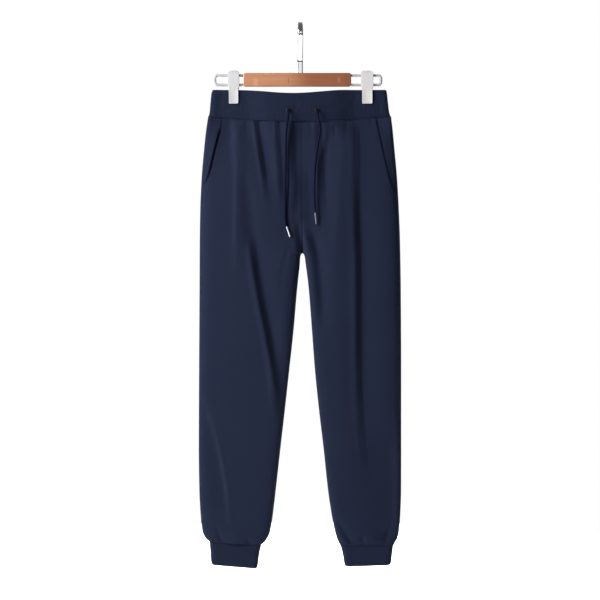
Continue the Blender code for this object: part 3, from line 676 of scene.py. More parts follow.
# The cloth sinks into each seam and puffs up beside it: depth, half width, puff, its distance, reach
WAIST_DIP = (1.5, 2.2, 0.7, 7.0, 4.5)
CUFF_DIP = (0.6, 2.2, 1.0, 9.0, 6.0)
CENTRE_SEAM_DIP = 0.15
CENTRE_SEAM_REACH = 1.6
# Faint unevenness of the hanging cloth, stretched upwards and unlike in front and behind
UNEVEN = 0.55
UNEVEN_REACH = 62.0
UNEVEN_STRETCH = 0.6
UNEVEN_APART = 40.0

# Rows of a panel between two levels, at about an even distance: from, to, distance
PANEL_SPANS = (
    (WAIST_SEAM_DOWN, 207, 1.3),
    (207, 342, 3.4),
    (342, 366, 2.2),
    (366, 476, 3.8),
    (476, 482, 1.5),
    (482, 484.5, 0.5),
    (484.5, 500, 1.7),
    (500, 1040, 4.6),
    (1040, 1078, 2.6),
)
HEM_ROWS = 11
# Columns of a panel: round the turn at the outseam, in the middle, round the turn at the inseam
PANEL_COLUMNS = (14, 96, 13)
QUARTER = math.pi / 2


def smooth(share):
    """0 to 1 with a soft start and a soft end."""
    share = min(max(share, 0.0), 1.0)
    return share * share * (3.0 - 2.0 * share)


def between(at, start, end, fade_in, fade_out):
    """0 outside two places and 1 between them, with soft ends."""
    return smooth((at - start) / fade_in) * smooth((end - at) / fade_out)


def turn(share, fullness=2.0):
    """Quarter of a round edge: 0 at the fold, 1 where the cloth is flat. A fuller one is squarer."""
    share = min(max(share, 0.0), 1.0)
    return (1.0 - (1.0 - share) ** fullness) ** (1.0 / fullness)


def hump(off, reach):
    return math.exp(-((off / reach) ** 2))


def fold_share(off, less, more):
    """How much of a fold's depth is left at a distance off its crease, which is its deepest line."""
    reach = less if off < 0.0 else more
    if reach > 0.0:
        return hump(off, reach)
    away = abs(off / reach)
    return math.exp(-away) - LIP * hump(away - LIP_AWAY, LIP_REACH)


def read(table, key, column):
    """Value of a table's column at a key, on a smooth curve through its rows that never overshoots."""
    key = min(max(key, table[0][0]), table[-1][0])
    i = max(n for n, row in enumerate(table[:-1]) if row[0] <= key)

    def rise(n):
        return (table[n + 1][column] - table[n][column]) / (table[n + 1][0] - table[n][0])

    def slope(n):
        before, after = rise(max(n - 1, 0)), rise(min(n, len(table) - 2))
        return 2.0 * before * after / (before + after) if before * after > 0.0 else 0.0

    width = table[i + 1][0] - table[i][0]
    t = (key - table[i][0]) / width
    start, end = table[i][column], table[i + 1][column]
    return (
        start * (1 + 2 * t) * (1 - t) ** 2
        + end * t * t * (3 - 2 * t)
        + width * slope(i) * t * (1 - t) ** 2
        - width * slope(i + 1) * t * t * (1 - t)
    )


def waist_sag(x):
    return WAIST_SEAM_SAG * max(0.0, 1.0 - (x / WAIST_SEAM_REACH) ** 2)


def inner_edge(side, down):
    """The centre seam down to the crotch, then the inseam."""
    if down <= CROTCH_DOWN:
        return CENTRE_SEAM_X - INWARDS[side] * SEAM_GAP
    return read(INSEAM, down, SIDES[side])


@functools.lru_cache(maxsize=None)
def leg_level(side, face, down):
    """All that the points of one level of a leg's face have in common."""
    column, sign = FACES[face]
    seam_height = (CROTCH_DOWN - down) / CROTCH_CURVE[face]
    aside = BACK_SEAM_ASIDE * smooth(BACK_SEAM_ASIDE_RISE * seam_height)
    hem, hem_inner = CUFF_ENDS[side][:2]
    folds = []
    for depth, less, more, fade_in, fade_out, crease in FRONT_FOLDS if face == "front" else BACK_FOLDS:
        strength = depth * between(down, crease[0][0], crease[-1][0], fade_in, fade_out)
        if strength:
            folds.append((read(crease, down, 1), strength, less, more))
    dip = 0.0
    for seam, (sink, reach, puff, away, puff_reach) in ((WAIST_SEAM_DOWN, WAIST_DIP), (hem, CUFF_DIP)):
        off = abs(down - seam)
        dip += sink * hump(off, reach) - puff * hump(off - away, puff_reach)
    return SimpleNamespace(
        down=down,
        sign=sign,
        outer=read(OUTSEAM, down, SIDES[side]),
        inner=inner_edge(side, down) + (aside if face == "back" else 0.0),
        depth=read(DEPTH, down, column),
        turns=(read(DEPTH, down, 3), read(DEPTH, down, 4)),
        seam_full=turn(seam_height) if seam_height > 0.0 else 0.0,
        pressed=1.0 - smooth((down - PRESSED_UNTIL_DOWN) / (PRESSED_FADES_BY - PRESSED_UNTIL_DOWN)),
        folds=folds,
        dip=dip,
        sag=1.0 - smooth((down - WAIST_SEAM_DOWN) / (WAIST_SAG_FADES_BY - WAIST_SEAM_DOWN)),
        slope=(hem_inner - hem) * smooth((down - HEM_SLOPE_FROM) / (hem - HEM_SLOPE_FROM)),
    )


def pressed_in(depth, x, share):
    """Half depth of the cloth at x, flattened by the jaws of the clips."""
    for clip_x in CLIP_X.values():
        near = 1.0 - smooth((abs(x - clip_x) - PRESSED_FLAT) / PRESSED_SLOPE)
        depth += near * share * (PRESSED_HALF - depth)
    return depth


def leg_point(level, x):
    """Point of a leg's outer surface at x on one of its levels."""
    off_outer, off_inner = abs(x - level.outer), abs(level.inner - x)
    rounding = turn(off_outer / level.turns[0], FULLNESS)
    rounding *= level.seam_full + (1.0 - level.seam_full) * turn(off_inner / level.turns[1], FULLNESS)
    across = (x - level.outer) / (level.inner - level.outer)
    depth = level.depth * (1.0 + CROWN * 4.0 * across * (1.0 - across))
    depth = pressed_in(depth, x, level.pressed) - level.dip
    for crease_x, strength, less, more in level.folds:
        depth -= strength * fold_share(x - crease_x, less, more)
    depth -= level.seam_full * CENTRE_SEAM_DIP * hump(off_inner, CENTRE_SEAM_REACH)
    wander = Vector((x, level.sign * UNEVEN_APART, level.down * UNEVEN_STRETCH)) / UNEVEN_REACH
    depth += UNEVEN * space_noise.noise(wander)
    y = level.sign * max(SEAM_GAP, depth * rounding)
    return Vector((x, y, -(level.down + waist_sag(x) * level.sag + level.slope * across)))


def panel_levels(side):
    levels = []
    for start, end, step in PANEL_SPANS:
        levels += steps(start, end, round((end - start) / step))
    return levels + steps_to(PANEL_SPANS[-1][1], CUFF_ENDS[side][0], HEM_ROWS)


def columns_between(start, end, turns, counts):
    """x of each column: close together round the two turned edges, even between them."""
    way = 1.0 if end > start else -1.0
    flat_start, flat_end = start + way * turns[0], end - way * turns[1]
    first, last = (steps(0.0, QUARTER, count) for count in (counts[0], counts[2]))
    columns = [start + way * turns[0] * (1.0 - math.cos(angle)) for angle in first]
    columns += steps(flat_start, flat_end, counts[1])
    return columns + [flat_end + way * turns[1] * math.sin(angle) for angle in last] + [end]


def raise_row(verts, up):
    for vert in verts:
        vert.co.z += up


def finish_cloth(name, bm, lines, sign, thickness, node):
    """A panel of terry from a sheet that is turned to face the given way, with its wall inwards."""
    lay_pattern(bm, lines)
    bm.normal_update()
    if lines[len(lines) // 2][len(lines[0]) // 2].link_faces[0].normal.y * sign < 0.0:
        bmesh.ops.reverse_faces(bm, faces=bm.faces)
    cloth = finish_piece(name, bm, terry, node)
    wall = cloth.modifiers.new("cloth thickness", "SOLIDIFY")
    wall.thickness = thickness * MM
    wall.offset = -1.0
    return cloth


def knit_height(tree, stitch_width, stitch_height):
    """Height of a plain knit: rows of small v stitches, from a UV map in metres."""
    places = shader_node(tree, "UVMap")
    places.uv_map = "cloth"
    apart = shader_node(tree, "SeparateXYZ", Vector=places.outputs[0])
    across = reckon(tree, "MULTIPLY", apart.outputs[0], 1.0 / (stitch_width * MM))
    down = reckon(tree, "MULTIPLY", apart.outputs[1], 1.0 / (stitch_height * MM))
    leg = reckon(tree, "PINGPONG", across, 0.5)
    rows = reckon(tree, "SINE", reckon(tree, "MULTIPLY", reckon(tree, "ADD", down, leg), 2 * math.pi))
    wales = reckon(tree, "SINE", reckon(tree, "MULTIPLY", across, 2 * math.pi))
    return reckon(tree, "ADD", rows, reckon(tree, "MULTIPLY", wales, 0.7))


def navy_knit(name, shade, lighter, stitch_width, stitch_height, relief):
    """Matt navy knit: two near shades in soft clouds, flecks of painted shade between yarns, a fibrous
    sheen.
    """
    material, tree, shader, place = new_finish(
        name,
        Sheen_Weight=0.03,
        Sheen_Roughness=0.4,
        Sheen_Tint=(0.55, 0.6, 0.85, 1.0),
        Specular_IOR_Level=0.12,
    )
    height = knit_height(tree, stitch_width, stitch_height)
    yarn = noise(tree, place, 850.0)
    clouds = blend_colours(tree, noise(tree, place, 11.0, 3.0), shade, lighter)
    # Painted shade of the gaps between the yarns: a far darker navy, mixed in by fine noise.
    painted_gap_shade = tuple(channel * 0.35 for channel in shade)
    colour = blend_colours(tree, reckon(tree, "MULTIPLY", yarn, 0.35), clouds, painted_gap_shade)
    set_sockets(tree, shader, Base_Color=colour, Roughness=reckon(tree, "MULTIPLY_ADD", yarn, 0.15, 0.8))
    set_relief(tree, shader, reckon(tree, "ADD", height, yarn), relief * MM)
    return material


def mouth_open(down):
    """How far a pocket mouth is open: not at its two ends, most in the middle."""
    return between(down, POCKET_MOUTH[0][0], POCKET_MOUTH[-1][0], *MOUTH_FADES)


def mouth_edge(side, down):
    return read(POCKET_MOUTH, down, SIDES[side]) + MOUTH_PULL[side] * mouth_open(down)


def pocket_lift(side, down, off):
    """How far the cloth by a pocket mouth stands off the facing."""
    return POCKET_LIFT[side] * mouth_open(down) * hump(off, POCKET_LIFT_REACH)


def make_panel(side, face):
    levels = [leg_level(side, face, down) for down in panel_levels(side)]
    bm, lines = flat_grid(sum(PANEL_COLUMNS), len(levels) - 1)
    for level, line in zip(levels, lines):
        pocket = face == "front" and level.down < POCKET_MOUTH[-1][0]
        start = mouth_edge(side, level.down) if pocket else level.outer
        for vert, x in zip(line, columns_between(start, level.inner, level.turns, PANEL_COLUMNS)):
            vert.co = leg_point(level, x)
            if pocket:
                vert.co.y -= pocket_lift(side, level.down, abs(x - start))
    raise_row(lines[0], -SEAM_GAP)
    raise_row(lines[-1], SEAM_GAP)
    panel = finish_cloth(f"{face}_panel_{side}", bm, lines, FACES[face][1], PANEL_WALL, f"{face}_{side}")


terry = navy_knit("navy terry", (0.0125, 0.0200, 0.0475), (0.0165, 0.0230, 0.0525), 1.2, 0.9, 0.10)
for side in SIDES:
    for face in FACES:
        make_panel(side, face)


# ---- Pocket facings ----
# Behind each slanted pocket mouth lies a facing of the same terry. It is sewn into the waist seam and
# the side seam, and runs on under the front panel.

FACING_WALL = 1.5
POCKET_TUCK = 20.0
FACING_BOTTOM_DOWN = 380.0
FACING_COLUMNS = 44
FACING_ROWS = 60
FACING_SINKS = {"right": 2.8, "left": 2.15}
FACING_SINKS_BY = 14.0
# The right pocket gapes a little: depth and width of the gap, from where to where down, how softly it
# starts and ends, and the share of it that is left outside
POCKET_GAPE = {"right": 6.5, "left": 0.3}
GAPE_WIDTH = 6.5
GAPE_SPAN = (212.0, 342.0, 22.0, 40.0)
GAPE_LEAST = 0.2


def make_facing(side):
    way = INWARDS[side]
    bm, lines = flat_grid(FACING_COLUMNS, FACING_ROWS)
    for down, line in zip(steps_to(WAIST_SEAM_DOWN, FACING_BOTTOM_DOWN, FACING_ROWS), lines):
        level = leg_level(side, "front", down)
        mouth = mouth_edge(side, down)
        reach = mouth + way * POCKET_TUCK - level.outer
        gape = POCKET_GAPE[side] * (GAPE_LEAST + (1.0 - GAPE_LEAST) * between(down, *GAPE_SPAN))
        for vert, angle in zip(line, steps_to(0.0, QUARTER, FACING_COLUMNS)):
            x = level.outer + reach * (1.0 - math.cos(angle))
            vert.co = leg_point(level, x)
            sunk = FACING_SINKS[side] * smooth(abs(x - level.outer) / FACING_SINKS_BY)
            sunk += gape * smooth(1.0 - way * (mouth - x) / GAPE_WIDTH)
            vert.co.y = min(-SEAM_GAP, vert.co.y + sunk)
    raise_row(lines[0], -SEAM_GAP)
    facing = finish_cloth(f"facing_{side}", bm, lines, -1.0, FACING_WALL, f"pocket_facing_{side}")


for side in SIDES:
    make_facing(side)


# ---- Waistband ----
# A band of ribbed knit, sewn in a ring and folded double over a wide elastic. Its top edge is the fold.
# It sags between the two clips, which press it flat.

BAND_WALL = 4.0
# Waistband, a row for each ring: share of the way down, x of the right side, x of the left side,
# half depth, radius of the turn at the sides
BAND = (
    (0.00, -183.5, 181, 11.5, 10),
    (0.12, -186, 182.6, 12.3, 11),
    (0.50, -188.2, 185, 13.8, 13),
    (0.85, -190, 187.6, 14.6, 16),
    (1.00, -192, 190.3, 14.8, 18),
)
BAND_TOP_DOWN = 139.0
BAND_TOP_SAG = 7.0
BAND_TOP_SAG_X = -15.0
BAND_TOP_SAG_REACH = 120.0
BAND_COLUMN = 2.6
BAND_ROWS = 30
FOLD_ROWS = 9
BAND_TURN_STEPS = 9
# Creases of the band: face, depth, half width, (x, down) of its two ends
BAND_CREASES = (
    ("front", 1.1, 3.2, (-4.6, 164), (-13.9, 191)),
    ("front", 0.9, 5, (42, 187), (94.5, 166)),
    ("front", 0.9, 5, (-161, 188), (-141, 171.5)),
    ("front", 0.8, 2.6, (-9.5, 135), (-9.5, 156)),
    ("front", 0.9, 4, (-119, 150), (-104, 172)),
    ("front", 0.9, 4, (121, 150), (108, 172)),
    ("front", 0.8, 4, (-60, 172), (-88, 196)),
    ("front", 0.7, 3.6, (160, 150), (170, 182)),
    ("front", 0.7, 3.6, (-160, 146), (-172, 176)),
    ("back", 1, 4, (-118, 150), (-96, 176)),
    ("back", 1, 4, (120, 150), (100, 178)),
    ("back", 0.9, 5, (-40, 190), (-84, 168)),
    ("back", 0.9, 5, (30, 192), (70, 166)),
    ("back", 0.7, 3.4, (8, 150), (14, 186)),
    ("back", 0.8, 4, (160, 148), (168, 184)),
    ("back", 0.8, 4, (-160, 148), (-170, 184)),
)
# The share of its length over which a crease fades, and what is left of that at its very ends
CREASE_FADE = 0.25
CREASE_FADE_LEFT = 0.2
BAND_SEAM_DIP = (1.3, 2.0)
BAND_EASE = 0.22
BAND_EASE_PITCH = 9.5
EYELETS = {"right": (-23.9, 183.3), "left": (35.7, 183.3)}
BAND_HOLE_RADIUS = 4.2
# The inner layer of a pressed ring stays this share of its half depth off the middle
LEAST_INSIDE = 0.02


def band_top_down(x):
    """The band's top edge, which sags between the two clips."""
    share = min(abs(x - BAND_TOP_SAG_X) / BAND_TOP_SAG_REACH, 1.0)
    return BAND_TOP_DOWN + BAND_TOP_SAG * math.cos(share * QUARTER) ** 2


def off_crease(x, down, start, end):
    """Distance of a point from a straight crease, and its place along it from 0 to 1."""
    start, way, point = Vector(start), Vector(end) - Vector(start), Vector((x, down))
    along = min(max((point - start).dot(way) / way.length_squared, 0.0), 1.0)
    return (point - start - way * along).length, along


def band_point(face, x, share):
    """Point of the band's outer surface at x and at a share of the way down it."""
    right, left, depth, radius = (read(BAND, share, column) for column in range(1, 5))
    top, bottom = band_top_down(x), WAIST_SEAM_DOWN + waist_sag(x)
    down = top + share * (bottom - top)
    depth = pressed_in(depth, x, 1.0) - BAND_SEAM_DIP[0] * hump(bottom - down, BAND_SEAM_DIP[1])
    ease = smooth(share) * smooth(6 * (1 - share))
    depth += BAND_EASE * math.sin(2 * math.pi * x / BAND_EASE_PITCH) * ease
    for crease_face, sink, reach, start, end in BAND_CREASES:
        if crease_face == face:
            off, along = off_crease(x, down, start, end)
            sink *= smooth(along / CREASE_FADE + CREASE_FADE_LEFT)
            sink *= smooth((1.0 - along) / CREASE_FADE + CREASE_FADE_LEFT)
            depth -= sink * hump(off, reach)
    rounding = turn((x - right) / radius) * turn((left - x) / radius)
    return Vector((x, FACES[face][1] * depth * rounding, -down))


def ring_columns(width, radius, turn_steps, step):
    """Columns of a pressed ring once round, as (face, share of its width) from its end at -X."""
    counts = (turn_steps, round((width - 2 * radius) / step), turn_steps)
    shares = [column / width for column in columns_between(0.0, width, (radius, radius), counts)]
    return [("front", share) for share in shares[:-1]] + [("back", share) for share in shares[:0:-1]]


def ring_outwards(ring):
    """The level direction out of a ring at each of its points."""
    found = []
    for before, after in zip([ring[-1]] + ring[:-1], ring[1:] + [ring[0]]):
        way = after - before
        found.append(Vector((way.y, -way.x, 0.0)).normalized())
    return found


def make_folded_ring(rings, wall, up):
    """A doubled ring of cloth: along its outside from the seam, round the folded edge and back inside."""
    for point in rings[0]:
        point.z += up * SEAM_GAP
    outwards = [ring_outwards(ring) for ring in rings]
    rows = list(rings)
    for angle in steps(0.0, math.pi, FOLD_ROWS)[1:]:
        inset = wall / 2 * (1.0 - math.cos(angle))
        beyond = Vector((0.0, 0.0, up * wall / 2 * math.sin(angle)))
        rows.append([point - way * inset + beyond for point, way in zip(rings[-1], outwards[-1])])
    for ring, ways in zip(reversed(rings), reversed(outwards)):
        inside = [point - way * wall for point, way in zip(ring, ways)]
        for moved, point in zip(inside, ring):
            if moved.y * point.y < 0.0:
                moved.y = LEAST_INSIDE * point.y
        rows.append(inside)
    bm = ring_mesh(rows)
    bmesh.ops.bridge_loops(bm, edges=[edge for edge in bm.edges if edge.is_boundary])
    face_outwards(bm)
    return bm


def make_waistband(material):
    _, right, left, _, radius = BAND[2]
    columns = ring_columns(left - right, radius, BAND_TURN_STEPS, BAND_COLUMN)
    rings = []
    for share in steps_to(1.0, BAND_WALL / 2 / (WAIST_SEAM_DOWN - BAND_TOP_DOWN), BAND_ROWS):
        right, left = read(BAND, share, 1), read(BAND, share, 2)
        rings.append([band_point(face, right + column * (left - right), share) for face, column in columns])
    bm = make_folded_ring(rings, BAND_WALL, 1.0)
    for x, down in EYELETS.values():
        hole = []
        for face in bm.faces:
            middle = face.calc_center_median()
            near = Vector((middle.x - x, middle.z + down)).length
            if middle.y < -BAND_WALL and face.normal.y < -0.5 and near < BAND_HOLE_RADIUS:
                hole.append(face)
        bmesh.ops.delete(bm, geom=hole, context="FACES")
        for vert in {vert for edge in bm.edges if edge.is_boundary for vert in edge.verts}:
            out = Vector((vert.co.x - x, 0.0, vert.co.z + down))
            if out.length < 2 * BAND_HOLE_RADIUS:
                vert.co += out.normalized() * (BAND_HOLE_RADIUS - out.length)
    band = finish_piece("rib_waistband", bm, material, "waistband")


rib = navy_knit("navy rib", (0.0118, 0.0192, 0.0460), (0.0146, 0.0218, 0.0500), 2.1, 1.2, 0.22)
make_waistband(rib)


# ---- Eyelets ----
# Two dark plated metal eyelets let the drawstring out. Each is a rolled ring with a short barrel,
# pressed through the front of the waistband.

EYELET_FRONT_Y = -14.6
EYELET_SIDES = 48
# An eyelet's section, turned round its axis: radius, distance behind the flange's back face
EYELET_SECTION = (
    (2.62, 5),
    (3.15, 5),
    (3.25, 0),
    (4.9, 0),
    (5.25, -0.15),
    (5.3, -0.45),
    (5.1, -0.8),
    (4.6, -1.08),
    (4, -1.2),
    (3.4, -1.12),
    (2.95, -0.9),
    (2.7, -0.5),
    (2.62, 0),
)


def make_eyelet(side, material):
    x, down = EYELETS[side]
    centre = Vector((x, EYELET_FRONT_Y, -down))
    section = [centre + Vector((radius, behind, 0.0)) for radius, behind in EYELET_SECTION]
    bm = turned(section + section[:1], centre, (0, 1, 0), EYELET_SIDES)
    finish_piece(f"metal_eyelet_{side}", bm, material, f"eyelet_{side}")


dark_metal = metal_finish("dark eyelet metal", (0.045, 0.047, 0.058), (0.022, 0.023, 0.029), 0.36)
for side in SIDES:
    make_eyelet(side, dark_metal)


# ---- Cuffs ----
# Ribbed cuffs, sewn in a ring and folded double at the free edge. Each is a little tighter than the
# leg, which puffs out above the seam.

# Cuffs, a row for each ring: share of the way down, x of the right cuff's outer and inner side,
# x of the left cuff's outer and inner side, half depth
CUFF = (
    (0.00, -190, -80.9, 196, 84.6, 11),
    (0.30, -188.9, -84.6, 194.3, 88.4, 10.8),
    (0.62, -187.5, -87, 192.9, 91.2, 10.6),
    (0.90, -186.4, -88.8, 191.3, 93.3, 10.2),
    (1.00, -184.6, -90.6, 189.4, 95.2, 9.2),
)
CUFF_TURN = 12.0
CUFF_WALL = 3.0
CUFF_WIDTH = 106.0
CUFF_COLUMN = 1.3
CUFF_TURN_STEPS = 8
CUFF_ROWS = 26
CUFF_SEAM_DIP = (0.6, 1.8)
CUFF_CORNER = 3.2
CUFF_RIB = 0.16
CUFF_RIB_PITCH = 5.2
CUFF_UNEVEN = 0.35
CUFF_UNEVEN_REACH = 17.0
CUFF_UNEVEN_APART = 30.0


def cuff_ring(side, share, columns):
    """Points of a cuff's outer surface once round, at a share of the way down."""
    seam_outer, seam_inner, edge_outer, edge_inner = CUFF_ENDS[side]
    first = 2 * SIDES[side] - 1
    outer, inner, half_depth = (read(CUFF, share, column) for column in (first, first + 1, 5))
    left = (1.0 - share) * (edge_outer - seam_outer)
    corner = INWARDS[side] * CUFF_CORNER * (1.0 - turn(left / CUFF_CORNER))
    low, high = sorted((outer + corner, inner - corner))
    outer, inner = (low, high) if side == "right" else (high, low)
    ring = []
    for face, column in columns:
        sign = FACES[face][1]
        x = low + column * (high - low)
        across = (x - outer) / (inner - outer)
        seam = seam_outer + across * (seam_inner - seam_outer)
        edge = edge_outer + across * (edge_inner - edge_outer)
        down = seam + share * (edge - seam)
        wander = Vector((x, sign * CUFF_UNEVEN_APART, down)) / CUFF_UNEVEN_REACH
        half = half_depth + CUFF_UNEVEN * space_noise.noise(wander)
        half -= CUFF_SEAM_DIP[0] * hump(down - seam, CUFF_SEAM_DIP[1])
        half += CUFF_RIB * math.sin(2 * math.pi * x / CUFF_RIB_PITCH) * smooth(3 * share)
        rounding = turn((x - low) / CUFF_TURN) * turn((high - x) / CUFF_TURN)
        ring.append(Vector((x, sign * half * rounding, -down)))
    return ring


def make_cuff(side, material):
    height = CUFF_ENDS[side][2] - CUFF_ENDS[side][0]
    last, bend = 1.0 - CUFF_WALL / 2 / height, 1.0 - CUFF_CORNER / height
    corner = [bend + (last - bend) * math.sin(angle) for angle in steps(0.0, QUARTER, CUFF_TURN_STEPS)]
    columns = ring_columns(CUFF_WIDTH, CUFF_TURN, CUFF_TURN_STEPS, CUFF_COLUMN)
    rings = [cuff_ring(side, share, columns) for share in steps(0.0, bend, CUFF_ROWS) + corner + [last]]
    bm = make_folded_ring(rings, CUFF_WALL, -1.0)
    cuff = finish_piece(f"rib_cuff_{side}", bm, material, f"cuff_{side}")


for side in SIDES:
    make_cuff(side, rib)


# ---- Sewing ----
# Navy thread, a shade lighter than the cloth: one row beside the waist and cuff seams, two beside each
# pocket mouth with a bar tack at its ends, and the curved double row of the mock fly.

STITCH_LENGTH = 2.5
STITCH_PITCH = 3.3
THREAD_RADIUS = 0.28
THREAD_STANDS_OUT = 0.25
# A waist row's depth and a cuff row's height, and how far each stops from the side of its panel
WAIST_ROW_DOWN = 199.2
WAIST_ROW_STOPS = 3.0
CUFF_ROW_UP = 4.2
CUFF_ROW_STOPS = 1.5
POCKET_ROWS = (1.8, 7.6)
# How far a pocket's rows start below the mouth's top and stop above its end
POCKET_ROW_STOPS = (2.0, 6.0)
POCKET_TACKS_DOWN = (204.0, 356.0)
POCKET_TACK_SPAN = (1.0, 8.4)
TACK_SLANT = 0.5
TACK_WIDTH = 0.75
TACK_PITCH = 0.55
# The mock fly's outer row: down, x
FLY_ROW = (
    (196, -21.5),
    (212, -20.2),
    (235, -16.6),
    (262, -13.2),
    (290, -10.8),
    (319, -8.6),
    (345, -5.4),
    (362, -1.6),
    (374, 2.4),
)
FLY_ROWS_APART = 4.6
FLY_STARTS_BELOW = 2.0
FLY_STOPS = 0.8
FLY_TACK = ((376.0, -14.0), (376.0, -2.6))
# Places along a row of stitches, and the small step over which the cloth's slope is felt
ROW_SPOTS = 500
POCKET_SPOTS = 240
FLY_SPOTS = 300
FEELER = 0.5


def on_leg(side, face, down, x):
    """A point of a leg's surface and the direction out of the cloth there."""
    level, below = leg_level(side, face, down), leg_level(side, face, down + FEELER)
    point = leg_point(level, x)
    out = (leg_point(level, x + FEELER) - point).cross(leg_point(below, x) - point).normalized()
    return point, out if out.y * level.sign > 0.0 else -out


stitch_mesh = bpy.data.meshes.new("stitch")


def add_stitch(bm, point, out, way, length):
    """One stitch: a short rounded thread half sunk in the cloth."""
    way = (way - out * way.dot(out)).normalized()
    place = Matrix((way, out.cross(way), out)).transposed().to_4x4()
    place.translation = point + out * (THREAD_RADIUS * THREAD_STANDS_OUT)
    sized = Matrix.Diagonal((length / 2, THREAD_RADIUS, THREAD_RADIUS, 1.0))
    stitch = bmesh.new()
    bmesh.ops.create_uvsphere(stitch, u_segments=6, v_segments=5, radius=1.0, matrix=place @ sized)
    stitch.to_mesh(stitch_mesh)
    stitch.free()
    bm.from_mesh(stitch_mesh)


def sew(bm, spots):
    """Stitches along (point, out) spots that lie close together."""
    walked = STITCH_PITCH / 2
    for (before, _), (point, out) in zip(spots, spots[1:]):
        walked += (point - before).length
        if walked >= STITCH_PITCH:
            walked -= STITCH_PITCH
            add_stitch(bm, point, out, point - before, STITCH_LENGTH)


def across_row(side, face, down, stops):
    """Spots across a panel at one level, from near its outer edge to near its inner edge."""
    pocket = face == "front" and down < POCKET_MOUTH[-1][0]
    start = read(POCKET_MOUTH if pocket else OUTSEAM, down, SIDES[side]) + INWARDS[side] * stops
    end = inner_edge(side, down) - INWARDS[side] * stops
    return [on_leg(side, face, down, x) for x in steps(start, end, ROW_SPOTS)]


def pocket_row(side, off):
    top, end = POCKET_MOUTH[0][0] + POCKET_ROW_STOPS[0], POCKET_MOUTH[-1][0] - POCKET_ROW_STOPS[1]
    spots = []
    for down in steps(top, end, POCKET_SPOTS):
        x = read(POCKET_MOUTH, down, SIDES[side]) + INWARDS[side] * off
        point, out = on_leg(side, "front", down, x)
        point.y -= pocket_lift(side, down, off)
        spots.append((point, out))
    return spots


def tack(bm, side, start, end):
    """A bar tack between two (down, x) places in front: stitches close together across its length."""
    along = Vector((end[1] - start[1], 0.0, start[0] - end[0])).normalized()
    count = round((Vector(end) - Vector(start)).length / TACK_PITCH)
    for down, x in [Vector(start).lerp(Vector(end), n / count) for n in range(count + 1)]:
        point, out = on_leg(side, "front", down, x)
        add_stitch(bm, point, out, along.cross(out), 2 * TACK_WIDTH)


def make_sewing(side, material):
    bm = bmesh.new()
    for face in FACES:
        sew(bm, across_row(side, face, WAIST_ROW_DOWN, WAIST_ROW_STOPS))
        sew(bm, across_row(side, face, CUFF_ENDS[side][0] - CUFF_ROW_UP, CUFF_ROW_STOPS))
    for off in POCKET_ROWS:
        sew(bm, pocket_row(side, off))
    for down in POCKET_TACKS_DOWN:
        mouth = read(POCKET_MOUTH, down, SIDES[side])
        start, end = (mouth + INWARDS[side] * off for off in POCKET_TACK_SPAN)
        tack(bm, side, (down, start), (down + TACK_SLANT, end))
    finish_piece(f"thread_{side}", bm, material)


def make_fly_sewing(material):
    bm = bmesh.new()
    downs = steps(FLY_ROW[0][0] + FLY_STARTS_BELOW, FLY_ROW[-1][0], FLY_SPOTS)
    for off in (0.0, FLY_ROWS_APART):
        row = [(down, read(FLY_ROW, down, 1) + off) for down in downs]
        row = [(down, x) for down, x in row if x < CENTRE_SEAM_X - FLY_STOPS]
        sew(bm, [on_leg("right", "front", down, x) for down, x in row])
    tack(bm, "right", *FLY_TACK)
    finish_piece("fly_thread", bm, material)


thread = fibre_finish(
    "navy thread", (0.009, 0.014, 0.034), (0.016, 0.022, 0.046), 2600.0, 0.0001, 0.7, 0.12
)
for side in SIDES:
    make_sewing(side, thread)
make_fly_sewing(thread)
bpy.data.meshes.remove(stitch_mesh)


# ---- Wooden bar of the hanger ----
# A straight planed bar of knotty wood, orange-tan at one end and red-brown at the other, with rounded
# corners under a satin varnish.

# Where the tan ends and the red is full, along X in metres
TAN_TO_RED = (-0.04, 0.03)
# Marks in the wood: x, z and half width in metres, stretch upwards, share and colour
WOOD_MARKS = (
    (-0.0242, -0.1200, 0.0013, 0.14, 0.6, (0.11, 0.036, 0.018)),
    (0.0815, -0.1185, 0.0045, 0.45, 0.3, (0.62, 0.30, 0.16)),
    (0.1070, -0.1175, 0.0240, 0.3, 0.8, (0.24, 0.070, 0.030)),
    (-0.0930, -0.1240, 0.0075, 0.5, 0.35, (0.80, 0.45, 0.27)),
)


def soft_step(tree, value, start, end):
    node = shader_node(tree, "MapRange", Value=value, From_Min=start, From_Max=end)
    node.interpolation_type = "SMOOTHSTEP"
    return node.outputs[0]


